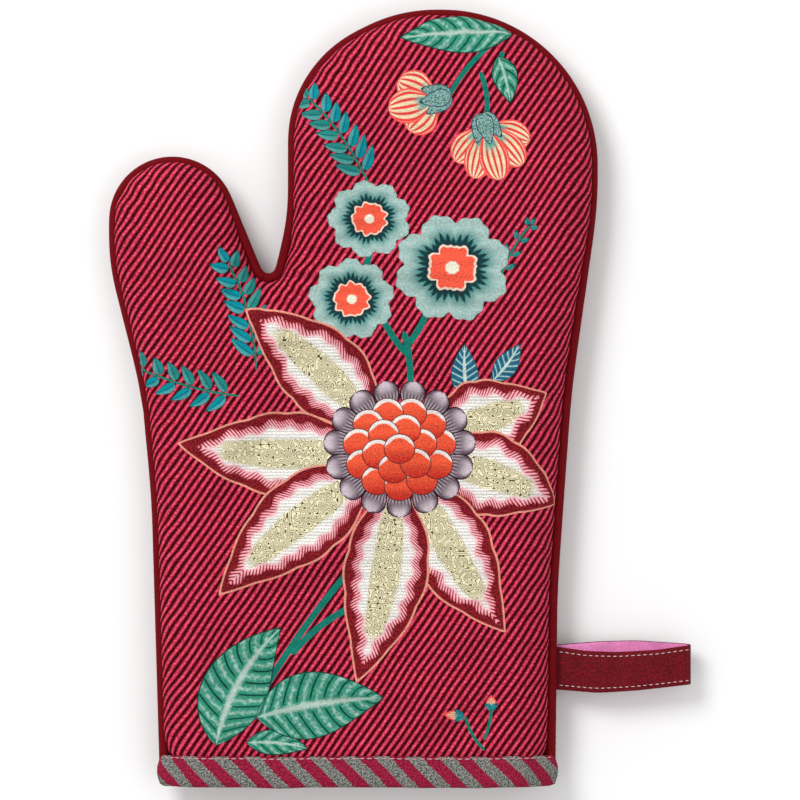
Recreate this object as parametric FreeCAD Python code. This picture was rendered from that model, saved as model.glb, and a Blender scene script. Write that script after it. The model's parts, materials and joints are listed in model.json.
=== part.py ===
"""An oven mitt, lying flat on its back panel, as separate pieces: millimetres, +Z up, +Y towards the fingertips.

Two padded panels, each of a cotton shell, a wadding and a lining, are sewn together round the hand with a corded
piping in the seam. A binding folds over the raw edges of the mouth, and a two-ply tape loop is caught in the side
seam. The mitt folds at the knuckles and at the root of the thumb, so its layers are divided along those two fold
lines, and the loop swings on the seam.

The pattern is drawn with x from the middle of the cuff and y from the cuff's edge. place() then moves every piece
so that the origin is under the middle of the whole object's box.
"""

import FreeCAD
import Part
import math
import os

Vector = FreeCAD.Vector

# Outline of the mitt, piping included
cuff_width = 159.8
palm_length = 205.0        # cuff edge to the bottom of the crotch
finger_length = 105.6      # crotch to the top of the finger part
finger_width = 124.0
finger_shift = 34.2        # the finger part's middle, right of the cuff's middle
thumb_width = 50.8
thumb_length = 46.9        # crotch to the tip of the thumb
thumb_reach = 74.0         # the thumb tip's middle, left of the cuff's middle
crotch_radius = 3.0
side_bend_radius = 400.0   # the slow bends of the two sides
root_bend_radius = 90.0    # where the fingers and the thumb swell from their roots
side_lean = 0.02           # the thumb side's slope at the cuff

# Build of the pads, from the outside in
mitt_thickness = 26.0
shell_thickness = 0.8
wadding_thickness = 6.0
lining_thickness = 0.6
edge_radius = 11.0         # how the panels turn down to the seam

# Seam and piping
piping_diameter = 4.4
piping_cord_diameter = 2.8
piping_fit = 0.05          # cover to cord
flange_thickness = 1.2     # the piping's seam allowance, two plies
seam_thread_diameter = 0.6
seam_thread_inset = 3.0    # from the panel's edge

# Binding round the mouth
binding_height = 12.5
binding_thickness = 0.8
binding_bulge = 0.3        # how far it stands proud of the piping at each side
stitch_length = 2.2
stitch_width = 0.7
stitch_depth = 0.4
cuff_stitch_pitch = 4.0
cuff_stitch_inset = 1.6    # from the binding's upper edge

# Hanging loop, one tape folded in two
loop_width = 18.0
loop_reach = 53.6          # past the piping
loop_height = 47.0         # its middle, from the cuff's edge
tape_thickness = 0.8
tape_lining_thickness = 0.5
loop_opening = 5.5         # between the plies
loop_taper = 14.0          # over which the plies come together at the seam
loop_end_radius = 3.2
loop_tail = 9.0            # caught inside the seam
loop_stitch_pitch = 3.2
loop_stitch_inset = 2.0    # from the tape's edges

# Folds
knuckle_rise = 19.0        # knuckle fold, above the crotch
thumb_fold_deg = 50.0      # thumb fold, from the line of the cuff
fold_gap = 0.6
loop_hinge_gap = 1.2       # loop to the piping's outside

# Worked out from the above
mitt_length = palm_length + finger_length
seam_height = mitt_thickness / 2
turn_radius = min(edge_radius, seam_height - flange_thickness)
lining_depth = shell_thickness + wadding_thickness
pad_depth = lining_depth + lining_thickness
ply_thickness = tape_thickness + tape_lining_thickness
cuff_right = cuff_width / 2
finger_right = finger_shift + finger_width / 2
finger_left = finger_shift - finger_width / 2
thumb_left = -thumb_reach - thumb_width / 2
crotch_x = finger_left - 7.5
knuckle_y = palm_length + knuckle_rise
FAR = 1000.0
BELOW_CUFF = -60.0
SHORTEST_EDGE = 1e-3


def round_end(centre, radius, before, after, count):
    """Corners round a circle, tangent to the sides that come from one point and leave for another.

    Their fillets of the same radius give back the circle's arc.
    """
    (cx, cy), (bx, by), (ax, ay) = centre, before, after
    start = math.atan2(by - cy, bx - cx) + math.acos(radius / math.hypot(bx - cx, by - cy))
    end = math.atan2(ay - cy, ax - cx) - math.acos(radius / math.hypot(ax - cx, ay - cy))
    step = (end - start) % (2 * math.pi) / count
    reach = radius / math.cos(step / 2)
    turns = [start + (i + 0.5) * step for i in range(count)]
    return [(cx + reach * math.cos(t), cy + reach * math.sin(t), radius) for t in turns]


def outline_corners(low_y):
    """The mitt's outline as corners with fillet radii, anticlockwise from the right of the cuff."""
    dome = finger_width / 2
    tip = thumb_width / 2
    waist_y = palm_length * 0.55
    right_side = [
        (cuff_right, low_y, 0),
        (cuff_right, palm_length * 0.37, side_bend_radius),
        (cuff_right + 5.8, palm_length * 0.77, side_bend_radius),
        (finger_right, palm_length + 27, 2 * root_bend_radius),
    ]
    dome_left = [
        (finger_left + 44.2, mitt_length, dome),
        (finger_left + 15.3, mitt_length - 14.8, 50),
        (finger_left, mitt_length - 38.3, 48),
    ]
    crotch = [
        (finger_left, palm_length + 23, root_bend_radius),
        (finger_left - 7, palm_length - 2.33 * crotch_radius, crotch_radius),
    ]
    left_side = [
        (thumb_left, palm_length + 4, root_bend_radius),
        (-cuff_right - 6.5, palm_length - 47.5, 2 * root_bend_radius),
        (-cuff_right - side_lean * waist_y, waist_y, side_bend_radius),
        (-cuff_right - side_lean * low_y, low_y, 0),
    ]
    finger_end = round_end((finger_shift, mitt_length - dome), dome, right_side[-1][:2], dome_left[0][:2], 3)
    thumb_end = round_end(
        (-thumb_reach, palm_length + thumb_length - tip), tip, crotch[-1][:2], left_side[0][:2], 4
    )
    return right_side + finger_end + dome_left + crotch + thumb_end + left_side


def fitted_radii(corners):
    """The corners' radii, made smaller where two neighbouring arcs wouldn't fit their shared side."""
    points = [Vector(x, y, 0) for x, y, _ in corners]
    tangents = [0.0] * len(corners)
    for i in range(1, len(corners) - 1):
        half = (points[i - 1] - points[i]).getAngle(points[i + 1] - points[i]) / 2
        tangents[i] = corners[i][2] / math.tan(half)
    radii = [radius for _, _, radius in corners]
    for i in range(1, len(corners) - 1):
        rooms = [
            (points[i] - points[j]).Length / (tangents[i] + tangents[j])
            for j in (i - 1, i + 1)
        ]
        radii[i] *= min(1.0, *rooms)
    return radii


def shifted_line(start, end, inset):
    """A side of the outline moved to the left of its direction, which is inwards."""
    along = (end - start).normalize()
    step = Vector(-along.y, along.x, 0) * inset
    return start + step, along


def crossing(line_a, line_b):
    (a, u), (b, v) = line_a, line_b
    across = u.x * v.y - u.y * v.x
    return a + u * (((b.x - a.x) * v.y - (b.y - a.y) * v.x) / across)


def inset_wire(points, radii, inset, ends):
    """The path through rounded corners, moved to its left by inset, with every arc kept concentric.

    ends holds the two lines that the path starts and stops on, or None if it closes on its first point.
    """
    lines = [shifted_line(a, b, inset) for a, b in zip(points, points[1:])]
    first, final = ends if ends else (lines[-1], lines[0])
    inner = [crossing(lines[0], first)]
    inner += [crossing(a, b) for a, b in zip(lines, lines[1:])]
    inner.append(crossing(lines[-1], final))
    edges = []
    last = inner[0]
    for i in range(1, len(inner) - 1):
        here = inner[i]
        back = (inner[i - 1] - here).normalize()
        onward = (inner[i + 1] - here).normalize()
        turns_left = back.x * onward.y - back.y * onward.x < 0
        radius = radii[i] + (-inset if turns_left else inset)
        half = back.getAngle(onward) / 2
        start = here + back * (radius / math.tan(half))
        end = here + onward * (radius / math.tan(half))
        middle = here + (back + onward).normalize() * (radius / math.sin(half) - radius)
        if (start - last).Length > SHORTEST_EDGE:
            edges.append(Part.LineSegment(last, start).toShape())
            last = start
        edges.append(Part.Arc(last, middle, end).toShape())
        last = end
    edges.append(Part.LineSegment(last, inner[-1]).toShape())
    return edges


def outline_wire(inset, low_y, closed=True):
    """The mitt's outline moved inwards by inset, down to low_y."""
    corners = outline_corners(low_y)
    points = [Vector(x, y, 0) for x, y, _ in corners]
    foot = (Vector(0, low_y, 0), Vector(1, 0, 0))
    edges = inset_wire(points, fitted_radii(corners), inset, (foot, foot))
    if closed:
        ends = edges[-1].Vertexes[-1].Point, edges[0].Vertexes[0].Point
        edges.append(Part.LineSegment(*ends).toShape())
    return Part.Wire(edges)


def box(x0, x1, y0, y1, z0, z1):
    return Part.makeBox(x1 - x0, y1 - y0, z1 - z0, Vector(x0, y0, z0))


def prism(points, z0, z1):
    """A straight-sided block over a polygon."""
    corners = [Vector(x, y, z0) for x, y in points]
    face = Part.Face(Part.makePolygon(corners + corners[:1]))
    return face.extrude(Vector(0, 0, z1 - z0))


def row_of_boxes(x0, x1, y, z0, z1, length, pitch, width):
    """Equal stitches along x, centred in the stretch from x0 to x1."""
    count = int((x1 - x0 - length) / pitch) + 1
    first = (x0 + x1) / 2 - (count - 1) * pitch / 2
    return [
        box(first + i * pitch - length / 2, first + i * pitch + length / 2, y - width / 2, y + width / 2, z0, z1)
        for i in range(count)
    ]


# The padded body


def pillow(depth):
    """The padded body's closed shape at a depth below its outer face, running on past the cuff."""
    face = Part.Face(outline_wire(piping_diameter + depth, BELOW_CUFF))
    solid = face.extrude(Vector(0, 0, mitt_thickness - 2 * depth))
    solid.translate(Vector(0, 0, depth))
    rims = []
    for edge in solid.Edges:
        bounds = edge.BoundBox
        level = bounds.ZLength < 1e-6
        across_cuff = bounds.YMax < BELOW_CUFF + 1e-3
        if level and not across_cuff:
            rims.append(edge)
    return solid.makeFillet(turn_radius - depth, rims)


def panel_layer(outer, inner, y0, z0, z1, y1=FAR):
    """What lies between two pillows, in a stretch along y and z."""
    return outer.cut(inner).common(box(-FAR, FAR, y0, y1, z0, z1))


def make_pads():
    """The two panels' shells, waddings and linings. Under the binding the shells step in by its thickness."""
    face = pillow(0)
    under_binding = pillow(binding_thickness)
    under_shell = pillow(shell_thickness)
    pressed_shell = pillow(binding_thickness + shell_thickness)
    under_wadding = pillow(lining_depth)
    inside = pillow(pad_depth)
    edge = binding_thickness
    step = binding_height + shell_thickness
    layers = {}
    sides = {
        "front": (seam_height + flange_thickness / 2, FAR),
        "back": (-FAR, seam_height - flange_thickness / 2),
    }
    for side, (z0, z1) in sides.items():
        shell = panel_layer(face, under_shell, binding_height, z0, z1)
        shell = shell.fuse(panel_layer(under_binding, pressed_shell, edge, z0, z1, step))
        wadding = panel_layer(under_shell, under_wadding, step, z0, z1)
        wadding = wadding.fuse(panel_layer(pressed_shell, under_wadding, edge, z0, z1, step))
        layers[side + "_shell"] = shell.removeSplitter()
        layers[side + "_wadding"] = wadding.removeSplitter()
        layers[side + "_lining"] = panel_layer(under_wadding, inside, edge, z0, z1)
    return layers


# The seam


def seam_rod(diameter, inset):
    """A round rod in the seam's plane, that far inside the outline, from the binding's fold and round."""
    path = outline_wire(inset, binding_thickness, closed=False)
    path.translate(Vector(0, 0, seam_height))
    start = path.Edges[0].Vertexes[0].Point
    ring = Part.Wire(Part.makeCircle(diameter / 2, start, Vector(0, 1, 0)))
    return path.makePipeShell([ring], True, False)


def make_piping():
    """The cord, the bias strip folded round it with its two-ply allowance, and the thread that closes the seam."""
    inset = piping_diameter / 2
    cord = seam_rod(piping_cord_diameter, inset)
    hole = seam_rod(piping_cord_diameter + 2 * piping_fit, inset)
    thread = seam_rod(seam_thread_diameter, piping_diameter + seam_thread_inset)
    z0 = seam_height - flange_thickness / 2
    outer = Part.Face(outline_wire(inset + piping_cord_diameter / 2, binding_thickness))
    inner = Part.Face(outline_wire(piping_diameter + pad_depth, BELOW_CUFF))
    allowance = outer.extrude(Vector(0, 0, flange_thickness)).cut(inner.extrude(Vector(0, 0, flange_thickness)))
    allowance.translate(Vector(0, 0, z0))
    cover = seam_rod(piping_diameter, inset).fuse(allowance).cut(hole).cut(thread)
    return {"piping_cover": cover, "piping_cord": cord, "seam_thread": thread}


# The cuff


def cuff_stitches():
    """Short running stitches near the binding's upper edge, let into its two outer faces."""
    half = cuff_right - mitt_thickness / 2
    y = binding_height - cuff_stitch_inset
    shape = (cuff_stitch_pitch, stitch_width)
    front = row_of_boxes(-half, half, y, mitt_thickness - stitch_depth, mitt_thickness, stitch_length, *shape)
    back = row_of_boxes(-half, half, y, 0, stitch_depth, stitch_length, *shape)
    return Part.makeCompound(front + back)


def make_binding(piping):
    """A band folded over the raw edges of the mouth, outside and inside."""
    left = -cuff_right - side_lean * binding_height - binding_bulge
    right = cuff_right + binding_bulge
    band = box(left, right, 0, binding_height, 0, mitt_thickness)
    long_edges = [e for e in band.Edges if e.BoundBox.YLength > binding_height / 2]
    band = band.makeFillet(0.98 * seam_height, long_edges)
    above_fold = box(-FAR, FAR, binding_thickness, FAR, -FAR, FAR)
    band = band.cut(pillow(binding_thickness).common(above_fold))
    band = band.cut(pillow(pad_depth + binding_thickness))
    for piece in piping.values():
        band = band.cut(piece)
    inner = pillow(pad_depth).cut(pillow(pad_depth + binding_thickness))
    inner = inner.common(box(-FAR, FAR, binding_thickness, binding_height, -FAR, FAR))
    return band.fuse(inner).removeSplitter()


# The hanging loop


def loop_frame():
    """Where the loop leaves the seam (x), the far end of it (x) and its middle height (z)."""
    low, high = loop_height - loop_width / 2, loop_height + loop_width / 2
    strip = Part.Face(outline_wire(0, 0)).common(Part.makePlane(FAR, high - low, Vector(0, low, 0)))
    side = strip.BoundBox.XMax
    root = side + loop_hinge_gap
    middle_z = seam_height - piping_diameter / 2 - ply_thickness - 0.1
    return root, side + loop_reach, middle_z


def loop_outline(depth):
    """The loop seen from the cuff, from its pointed root round the far fold, moved inwards by depth."""
    root, end, z = loop_frame()
    half = loop_opening / 2 + ply_thickness
    corners = [
        (root, z, 0),
        (root + loop_taper, z - half, 2 * loop_taper),
        (end, z - half, loop_end_radius),
        (end, z + half, loop_end_radius),
        (root + loop_taper, z + half, 2 * loop_taper),
        (root, z, 0),
    ]
    points = [Vector(x, height, 0) for x, height, _ in corners]
    radii = [radius for _, _, radius in corners]
    face = Part.Face(Part.Wire(inset_wire(points, radii, depth, None)))
    face.rotate(Vector(0, 0, 0), Vector(1, 0, 0), 90)
    face.translate(Vector(0, loop_height + loop_width / 2, 0))
    return face.extrude(Vector(0, -loop_width, 0))


def make_loop():
    """The tape, the lining sewn inside it and the two rows of stitches along each ply."""
    root, end, z = loop_frame()
    half = loop_opening / 2 + ply_thickness
    x0, x1 = root + 1.5 * loop_taper, end - 1.5 * loop_end_radius
    stitches = []
    for side in (-1, 1):
        y = loop_height + side * (loop_width / 2 - loop_stitch_inset)
        for face_z in (z - half, z + half - stitch_depth):
            stitches += row_of_boxes(
                x0, x1, y, face_z, face_z + stitch_depth, stitch_length, loop_stitch_pitch, stitch_width
            )
    stitching = Part.makeCompound(stitches)
    tape = loop_outline(0).cut(loop_outline(tape_thickness)).cut(stitching)
    lining = loop_outline(tape_thickness).cut(loop_outline(ply_thickness))
    return {"loop_tape": tape, "loop_lining": lining, "loop_stitching": stitching}


def make_loop_tail():
    """The two ends of the tape, one on the other, under the piping and into the seam."""
    root, _, z = loop_frame()
    low, high = loop_height - loop_width / 2, loop_height + loop_width / 2
    inner = root - loop_hinge_gap - piping_diameter - loop_tail
    return box(inner, root - fold_gap, low, high, z - ply_thickness, z + ply_thickness)


# Folds


def fold_regions():
    """The space of each body: what is past the knuckle fold, what is past the thumb fold, and the rest."""
    turn = math.radians(thumb_fold_deg)
    along = (math.cos(turn), math.sin(turn))
    half_gap = fold_gap / 2

    def thumb_side(gap):
        x, y = crotch_x - gap * along[1], palm_length + gap * along[0]
        far = (x - FAR * along[0], y - FAR * along[1])
        return prism([(x, y), (x, 2 * FAR), (-2 * FAR, 2 * FAR), (-2 * FAR, far[1]), far], -FAR, FAR)

    def finger_side(gap):
        return box(crotch_x, 2 * FAR, knuckle_y + gap, 2 * FAR, -FAR, FAR)

    everything = box(-3 * FAR, 3 * FAR, -3 * FAR, 3 * FAR, -FAR, FAR)
    return {
        "palm": everything.cut(thumb_side(-half_gap)).cut(finger_side(-half_gap)),
        "fingers": finger_side(half_gap),
        "thumb": thumb_side(half_gap),
    }


def save(name, shape):
    """Moves a piece so that the origin is under the middle of the object, and writes it."""
    _, end, _ = loop_frame()
    placed = shape.copy()
    placed.translate(Vector(-(thumb_left + end) / 2, -mitt_length / 2, 0))
    solids = placed.Solids
    placed = solids[0] if len(solids) == 1 else Part.makeCompound(solids)
    placed.exportStep(os.path.join("parts", name + ".step"))
    bounds = placed.BoundBox
    print(f"{name:24s} {len(solids):3d} solids {placed.Volume:10.1f} mm3  z {bounds.ZMin:.2f} to {bounds.ZMax:.2f}")


def main():
    os.makedirs("parts", exist_ok=True)
    piping = make_piping()
    tail = make_loop_tail()
    layers = make_pads()
    for name in ("back_shell", "back_wadding", "back_lining"):
        layers[name] = layers[name].cut(tail)
    layers.update(piping)
    for body, region in fold_regions().items():
        for name, layer in layers.items():
            save(f"{body}_{name}", layer.common(region))
    stitches = cuff_stitches()
    save("cuff_binding", make_binding(piping).cut(stitches))
    save("cuff_stitching", stitches)
    save("loop_tail", tail)
    for name, piece in make_loop().items():
        save(name, piece)


main()
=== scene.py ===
import json
import math

import bmesh
import bpy
import numpy as np
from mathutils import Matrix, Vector, kdtree
from mathutils.bvhtree import BVHTree
from mathutils.geometry import convex_hull_2d, delaunay_2d_cdt


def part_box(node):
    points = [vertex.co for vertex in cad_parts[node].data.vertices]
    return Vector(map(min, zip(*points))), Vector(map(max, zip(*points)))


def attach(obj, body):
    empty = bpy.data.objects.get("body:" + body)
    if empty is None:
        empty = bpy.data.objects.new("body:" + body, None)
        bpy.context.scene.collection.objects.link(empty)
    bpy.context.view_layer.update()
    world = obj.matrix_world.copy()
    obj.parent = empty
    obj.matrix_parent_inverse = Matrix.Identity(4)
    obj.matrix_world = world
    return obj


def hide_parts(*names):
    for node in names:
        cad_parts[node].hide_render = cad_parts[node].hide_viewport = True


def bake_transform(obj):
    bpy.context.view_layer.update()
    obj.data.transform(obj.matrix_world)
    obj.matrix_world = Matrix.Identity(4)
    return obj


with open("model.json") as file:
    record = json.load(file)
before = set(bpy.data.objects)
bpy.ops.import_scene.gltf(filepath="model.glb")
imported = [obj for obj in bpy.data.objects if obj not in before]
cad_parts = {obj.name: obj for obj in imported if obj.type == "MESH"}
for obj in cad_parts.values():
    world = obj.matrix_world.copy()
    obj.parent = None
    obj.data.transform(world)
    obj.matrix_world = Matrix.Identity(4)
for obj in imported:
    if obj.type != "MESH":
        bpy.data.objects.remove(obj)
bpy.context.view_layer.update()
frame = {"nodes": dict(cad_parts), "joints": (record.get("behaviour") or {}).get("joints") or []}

# Everything below is drawn in millimetres in the pattern's own axes: x from the middle of the cuff, y from
# the cuff's edge towards the fingertips, z up from what the mitt lies on. metres() takes it to the row frame.
cuff_low, cuff_high = (np.array(corner) * 1000 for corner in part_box("cuff_binding"))
ORIGIN = np.array([(cuff_low[0] + cuff_high[0]) / 2, cuff_low[1], 0.0])


def node_box(name):
    """A CAD node's lowest and highest corners, in the pattern's millimetres."""
    low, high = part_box(name)
    return np.array(low) * 1000 - ORIGIN, np.array(high) * 1000 - ORIGIN


def metres(points):
    return (np.asarray(points, float) + ORIGIN) / 1000


TOP = cuff_high[2]
CUFF_HEIGHT = cuff_high[1] - cuff_low[1]
CUFF_HALF = (cuff_high[0] - cuff_low[0]) / 2
EDGE_FOLD = node_box("palm_front_lining")[0][1]
cord_box, cover_box = node_box("thumb_piping_cord"), node_box("thumb_piping_cover")
SEAM_Z = (cord_box[0][2] + cord_box[1][2]) / 2
CORD_RADIUS = (cord_box[1][2] - cord_box[0][2]) / 2
PIPE_RADIUS = (cover_box[1][2] - cover_box[0][2]) / 2
FLANGE = node_box("palm_front_shell")[0][2] - SEAM_Z
SHELL = node_box("thumb_back_wadding")[0][2]
PAD = node_box("thumb_back_lining")[0][2]
LINED = PAD + 0.6
HEIGHT = TOP - SEAM_Z - FLANGE
THREAD_INSET = 3.0
BELOW_CUFF = -30.0
SEAM_STEP = 0.5
EDGE_REACH = 15.0  # how far in from the seam a panel starts to turn down to it
KNUCKLE_Y = frame["joints"][0]["pos_m"][1] * 1000 - ORIGIN[1]
fold = frame["joints"][1]
FOLD_AT = np.array(fold["pos_m"][:2]) * 1000 - ORIGIN[:2]
FOLD_ALONG = np.array(fold["axis"][:2])
FOLD_OUT = np.array([-FOLD_ALONG[1], FOLD_ALONG[0]])  # from the palm towards the thumb's tip


def unit(vectors):
    return vectors / np.maximum(np.linalg.norm(vectors, axis=-1, keepdims=True), 1e-12)


def ramp(values, low, high):
    """0 below low, 1 above high, and smooth between."""
    t = np.clip((values - low) / (high - low), 0, 1)
    return t * t * (3 - 2 * t)


def evenly(line, step):
    """An open line of points, spaced evenly along its length."""
    lengths = np.r_[0, np.cumsum(np.linalg.norm(np.diff(line, axis=0), axis=1))]
    count = max(2, round(lengths[-1] / step) + 1)
    at = np.linspace(0, lengths[-1], count)
    return np.stack([np.interp(at, lengths, line[:, k]) for k in range(line.shape[1])], axis=1)


def smoothed(line, sigma):
    """An open line with its small corners rounded by a bell-shaped average. Its ends stay."""
    reach = int(3 * sigma)
    bell = np.exp(-0.5 * (np.arange(-reach, reach + 1) / sigma) ** 2)
    longer = np.vstack([2 * line[0] - line[reach:0:-1], line, 2 * line[-1] - line[-2 : -reach - 2 : -1]])
    columns = [np.convolve(longer[:, k], bell / bell.sum(), "valid") for k in range(line.shape[1])]
    return np.stack(columns, axis=1)


def search_tree(points):
    """A tree that finds the nearest of some flat points."""
    tree = kdtree.KDTree(len(points))
    for index, (x, y) in enumerate(points):
        tree.insert((x, y, 0), index)
    tree.balance()
    return tree


def tube_faces(rings, count, closed=False, cap=True, first=0):
    """The faces between rings of count points, capped at both ends unless the rings close on themselves."""
    faces = []
    for i in range(rings if closed else rings - 1):
        a, b = first + i * count, first + (i + 1) % rings * count
        for k in range(count):
            n = (k + 1) % count
            faces.append((a + k, a + n, b + n, b + k))
    if cap and not closed:
        last = first + (rings - 1) * count
        faces.append(tuple(range(first, first + count))[::-1])
        faces.append(tuple(range(last, last + count)))
    return faces


# The seam line, read from the CAD panels


def outer_runs():
    """The outer lower edge of each part of the front shell, as runs of points.

    An edge is an outer one if nothing of the shell lies over the place just past it.
    """
    shells = [frame["nodes"][body + "_front_shell"].data for body in ("palm", "fingers", "thumb")]
    points, faces = [], []
    for mesh in shells:
        first = len(points)
        points += [v.co * 1000 - Vector(ORIGIN) for v in mesh.vertices]
        faces += [[first + i for i in polygon.vertices] for polygon in mesh.polygons]
    cover = BVHTree.FromPolygons(points, faces)
    low = min(p.z for p in points) + 1e-3
    runs = {}
    for face in faces:
        a, b, c = (points[i] for i in face[:3])
        normal = (b - a).cross(c - a).normalized()
        ends = [points[i] for i in face if points[i].z < low]
        if abs(normal.z) > 0.5 or len(ends) != 2:
            continue
        beyond = (ends[0] + ends[1]) / 2 + normal
        beyond.z = low + 0.1
        if cover.ray_cast(beyond, Vector((0, 0, 1)))[0] is None:
            key = [tuple(round(x, 3) for x in p.xy) for p in ends]
            runs.setdefault(key[0], set()).add(key[1])
            runs.setdefault(key[1], set()).add(key[0])
    return runs


def seam_line():
    """The seam from the right of the cuff round to its left, smoothed and run straight on past the cuff."""
    runs = outer_runs()
    ends = [p for p, near in runs.items() if len(near) == 1]
    here = max(ends, key=lambda p: p[0] - p[1])
    line = []
    while ends:
        before = None
        while here:
            line.append(here)
            onward = [p for p in runs[here] if p != before]
            before, here = here, (onward[0] if onward else None)
        ends = [p for p in ends if p not in line]
        here = min(ends, key=lambda p: math.dist(p, before)) if ends else None
    line = np.array([p for p in line if p[1] > CUFF_HEIGHT + 1])
    feet = []
    for end, inner in ((0, 1), (-1, -2)):
        slope = (line[end] - line[inner]) / (line[end][1] - line[inner][1])
        feet.append(line[end] + slope * (BELOW_CUFF - line[end][1]))
    line = evenly(np.vstack([feet[0], line, feet[1]]), 1.0)
    return evenly(smoothed(line, 2), SEAM_STEP)


SEAM = seam_line()
seam_along = unit(np.gradient(SEAM, axis=0))
SEAM_INWARD = np.stack([-seam_along[:, 1], seam_along[:, 0]], axis=1)
SEAM_PLACES = np.arange(len(SEAM))
seam_tree = search_tree(SEAM)


def at_seam(values, places):
    """Values kept per seam point, read between the points."""
    if values.ndim == 1:
        return np.interp(places, SEAM_PLACES, values)
    return np.stack([np.interp(places, SEAM_PLACES, column) for column in values.T], axis=1)


def from_seam(points):
    """Each flat point's distance inside the seam, the inward direction there, and its place along it."""
    foot = np.array([seam_tree.find((x, y, 0))[1] for x, y in points])
    away = points - SEAM[foot]
    places = foot + (away * seam_along[foot]).sum(1) / SEAM_STEP * 0.9
    inward = unit(at_seam(SEAM_INWARD, places))
    return ((points - at_seam(SEAM, places)) * inward).sum(1), inward, places


def room_outside(most):
    """How far the seam line can be moved outwards at each of its points before it meets itself."""
    room = np.full(len(SEAM), most)
    for reach in np.arange(most, 0, -0.4):
        moved = SEAM - SEAM_INWARD * reach
        near = np.array([seam_tree.find((x, y, 0))[2] for x, y in moved])
        room[near < reach - 0.06] = reach - 0.4
    window = int(3 / SEAM_STEP)
    least = np.array([room[max(0, i - window) : i + window + 1].min() for i in SEAM_PLACES])
    return smoothed(np.maximum(least, 0.3)[:, None], 2 / SEAM_STEP)[:, 0]


# How a panel of cloth lies: flat in the middle, turned down to the seam over a rounded edge

turns = np.linspace(0, math.pi / 2, 200)
edge_curve = np.stack([EDGE_REACH * (1 - np.cos(turns)), HEIGHT * np.sin(turns)], axis=1)
edge_lengths = np.r_[0, np.cumsum(np.linalg.norm(np.diff(edge_curve, axis=0), axis=1))]
EASE = np.minimum(edge_lengths[-1] - EDGE_REACH, 0.6 * room_outside(9.0))
PIPE_OUT = np.minimum(PIPE_RADIUS, 0.8 * room_outside(4.0))
seam_y, seam_x = SEAM[:, 1], SEAM[:, 0]
from_crotch = np.linalg.norm(SEAM - FOLD_AT, axis=1)
OVERHANG = 2.3 - 1.3 * ramp(-from_crotch, -34, -10) - 1.1 * ramp(-seam_y, -240, -170) * (seam_x > 0)
TENSION_REACH = 34.0


def crown(x, y):
    """Slow rises and dips of the padded front."""
    waves = np.sin(x / 17 + 0.6 * np.sin(y / 29)) * np.sin(y / 23 + 0.7 * np.sin(x / 31) + 1.1)
    small = np.sin(x / 8.3 + y / 15 + 1.7) * np.sin(y / 9.1 - x / 21)
    return 0.55 * waves + 0.22 * small


def laid(cloth, depth, side, relief=None):
    """Where a panel's flat points lie at a depth below its outer face. side is 1 in front, -1 behind."""
    inside, inward, places = from_seam(cloth)
    ease = at_seam(EASE, places)
    run = np.clip((inside + ease) / (EDGE_REACH + ease), 0, 1)
    turn = np.interp(run, edge_lengths / edge_lengths[-1], turns)
    out_flat, out_up = unit(np.stack([np.cos(turn) / EDGE_REACH, np.sin(turn) / HEIGHT], axis=1)).T
    x, y = cloth.T
    sunk = 0.95 * (1 - ramp(y, CUFF_HEIGHT - 0.6, CUFF_HEIGHT + 1.2))
    away = cloth - FOLD_AT
    near = np.linalg.norm(away, axis=1)
    angle = np.arctan2(away[:, 1], away[:, 0])
    tension = np.sin(angle * 13 + 0.8) * np.exp(-near / TENSION_REACH) * ramp(near, 4, 14)
    pucker = np.sin(places * SEAM_STEP / 1.9 + 2 * np.sin(places * SEAM_STEP / 23)) * np.sin(2 * turn)
    soft = ramp(turn, 0.15, 1.2)
    slack = (0.3 * pucker + 0.75 * tension * soft) * ramp(y, 14, 30)
    if side < 0:
        slack = -np.abs(slack)
    depth = depth + (sunk - slack) * (1 - depth / LINED)
    across = EDGE_REACH * (1 - np.cos(turn)) + depth * out_flat
    rise = HEIGHT * np.sin(turn) - depth * out_up
    if side > 0:
        edge_only = ramp(turn, 0.02, 0.2) * (1 - ramp(turn, 0.3, 1.2))
        bulge = at_seam(OVERHANG, places) * ramp(y, 10, 22) * edge_only
        clear = PIPE_RADIUS - np.sqrt(np.maximum(0, PIPE_RADIUS**2 - (FLANGE + rise) ** 2))
        over = np.where(FLANGE + rise < PIPE_RADIUS, np.minimum(bulge, 0.9 * clear), bulge)
        across -= over
        rise += crown(x, y) * np.sin(turn) ** 2 * ramp(y, 14, 34)
        if relief is not None:
            rise += relief(cloth)
    flat = np.where((run < 1)[:, None], cloth + inward * (across - inside)[:, None], cloth)
    return np.c_[flat, SEAM_Z + side * (FLANGE + rise)]


# The flat outlines of the two panels, cut at the thumb's fold


def fold_places():
    """The two places along the seam where the thumb's fold crosses it."""
    past = (SEAM - FOLD_AT) @ FOLD_OUT
    first = last = int(np.argmin(np.where(past > 0, seam_x, np.inf)))
    while past[first - 1] > 0:
        first -= 1
    while past[last + 1] > 0:
        last += 1
    return [a + past[a] / (past[a] - past[a + 1]) for a in (first - 1, last)]


def cuff_places(y):
    """The places along the seam, on the right and on the left, at a height above the cuff's edge."""
    half = len(SEAM) // 2
    right = np.interp(y, seam_y[: half // 2], SEAM_PLACES[: half // 2])
    left = np.interp(-y, -seam_y[-half // 2 :], SEAM_PLACES[-half // 2 :])
    return right, left


def along_seam(line, first, last):
    """The points of a line kept per seam point, from one place to another."""
    whole = np.arange(math.floor(first) + 1, math.ceil(last))
    return at_seam(line, np.r_[first, whole, last])


THUMB_FROM, THUMB_TO = fold_places()


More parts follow.
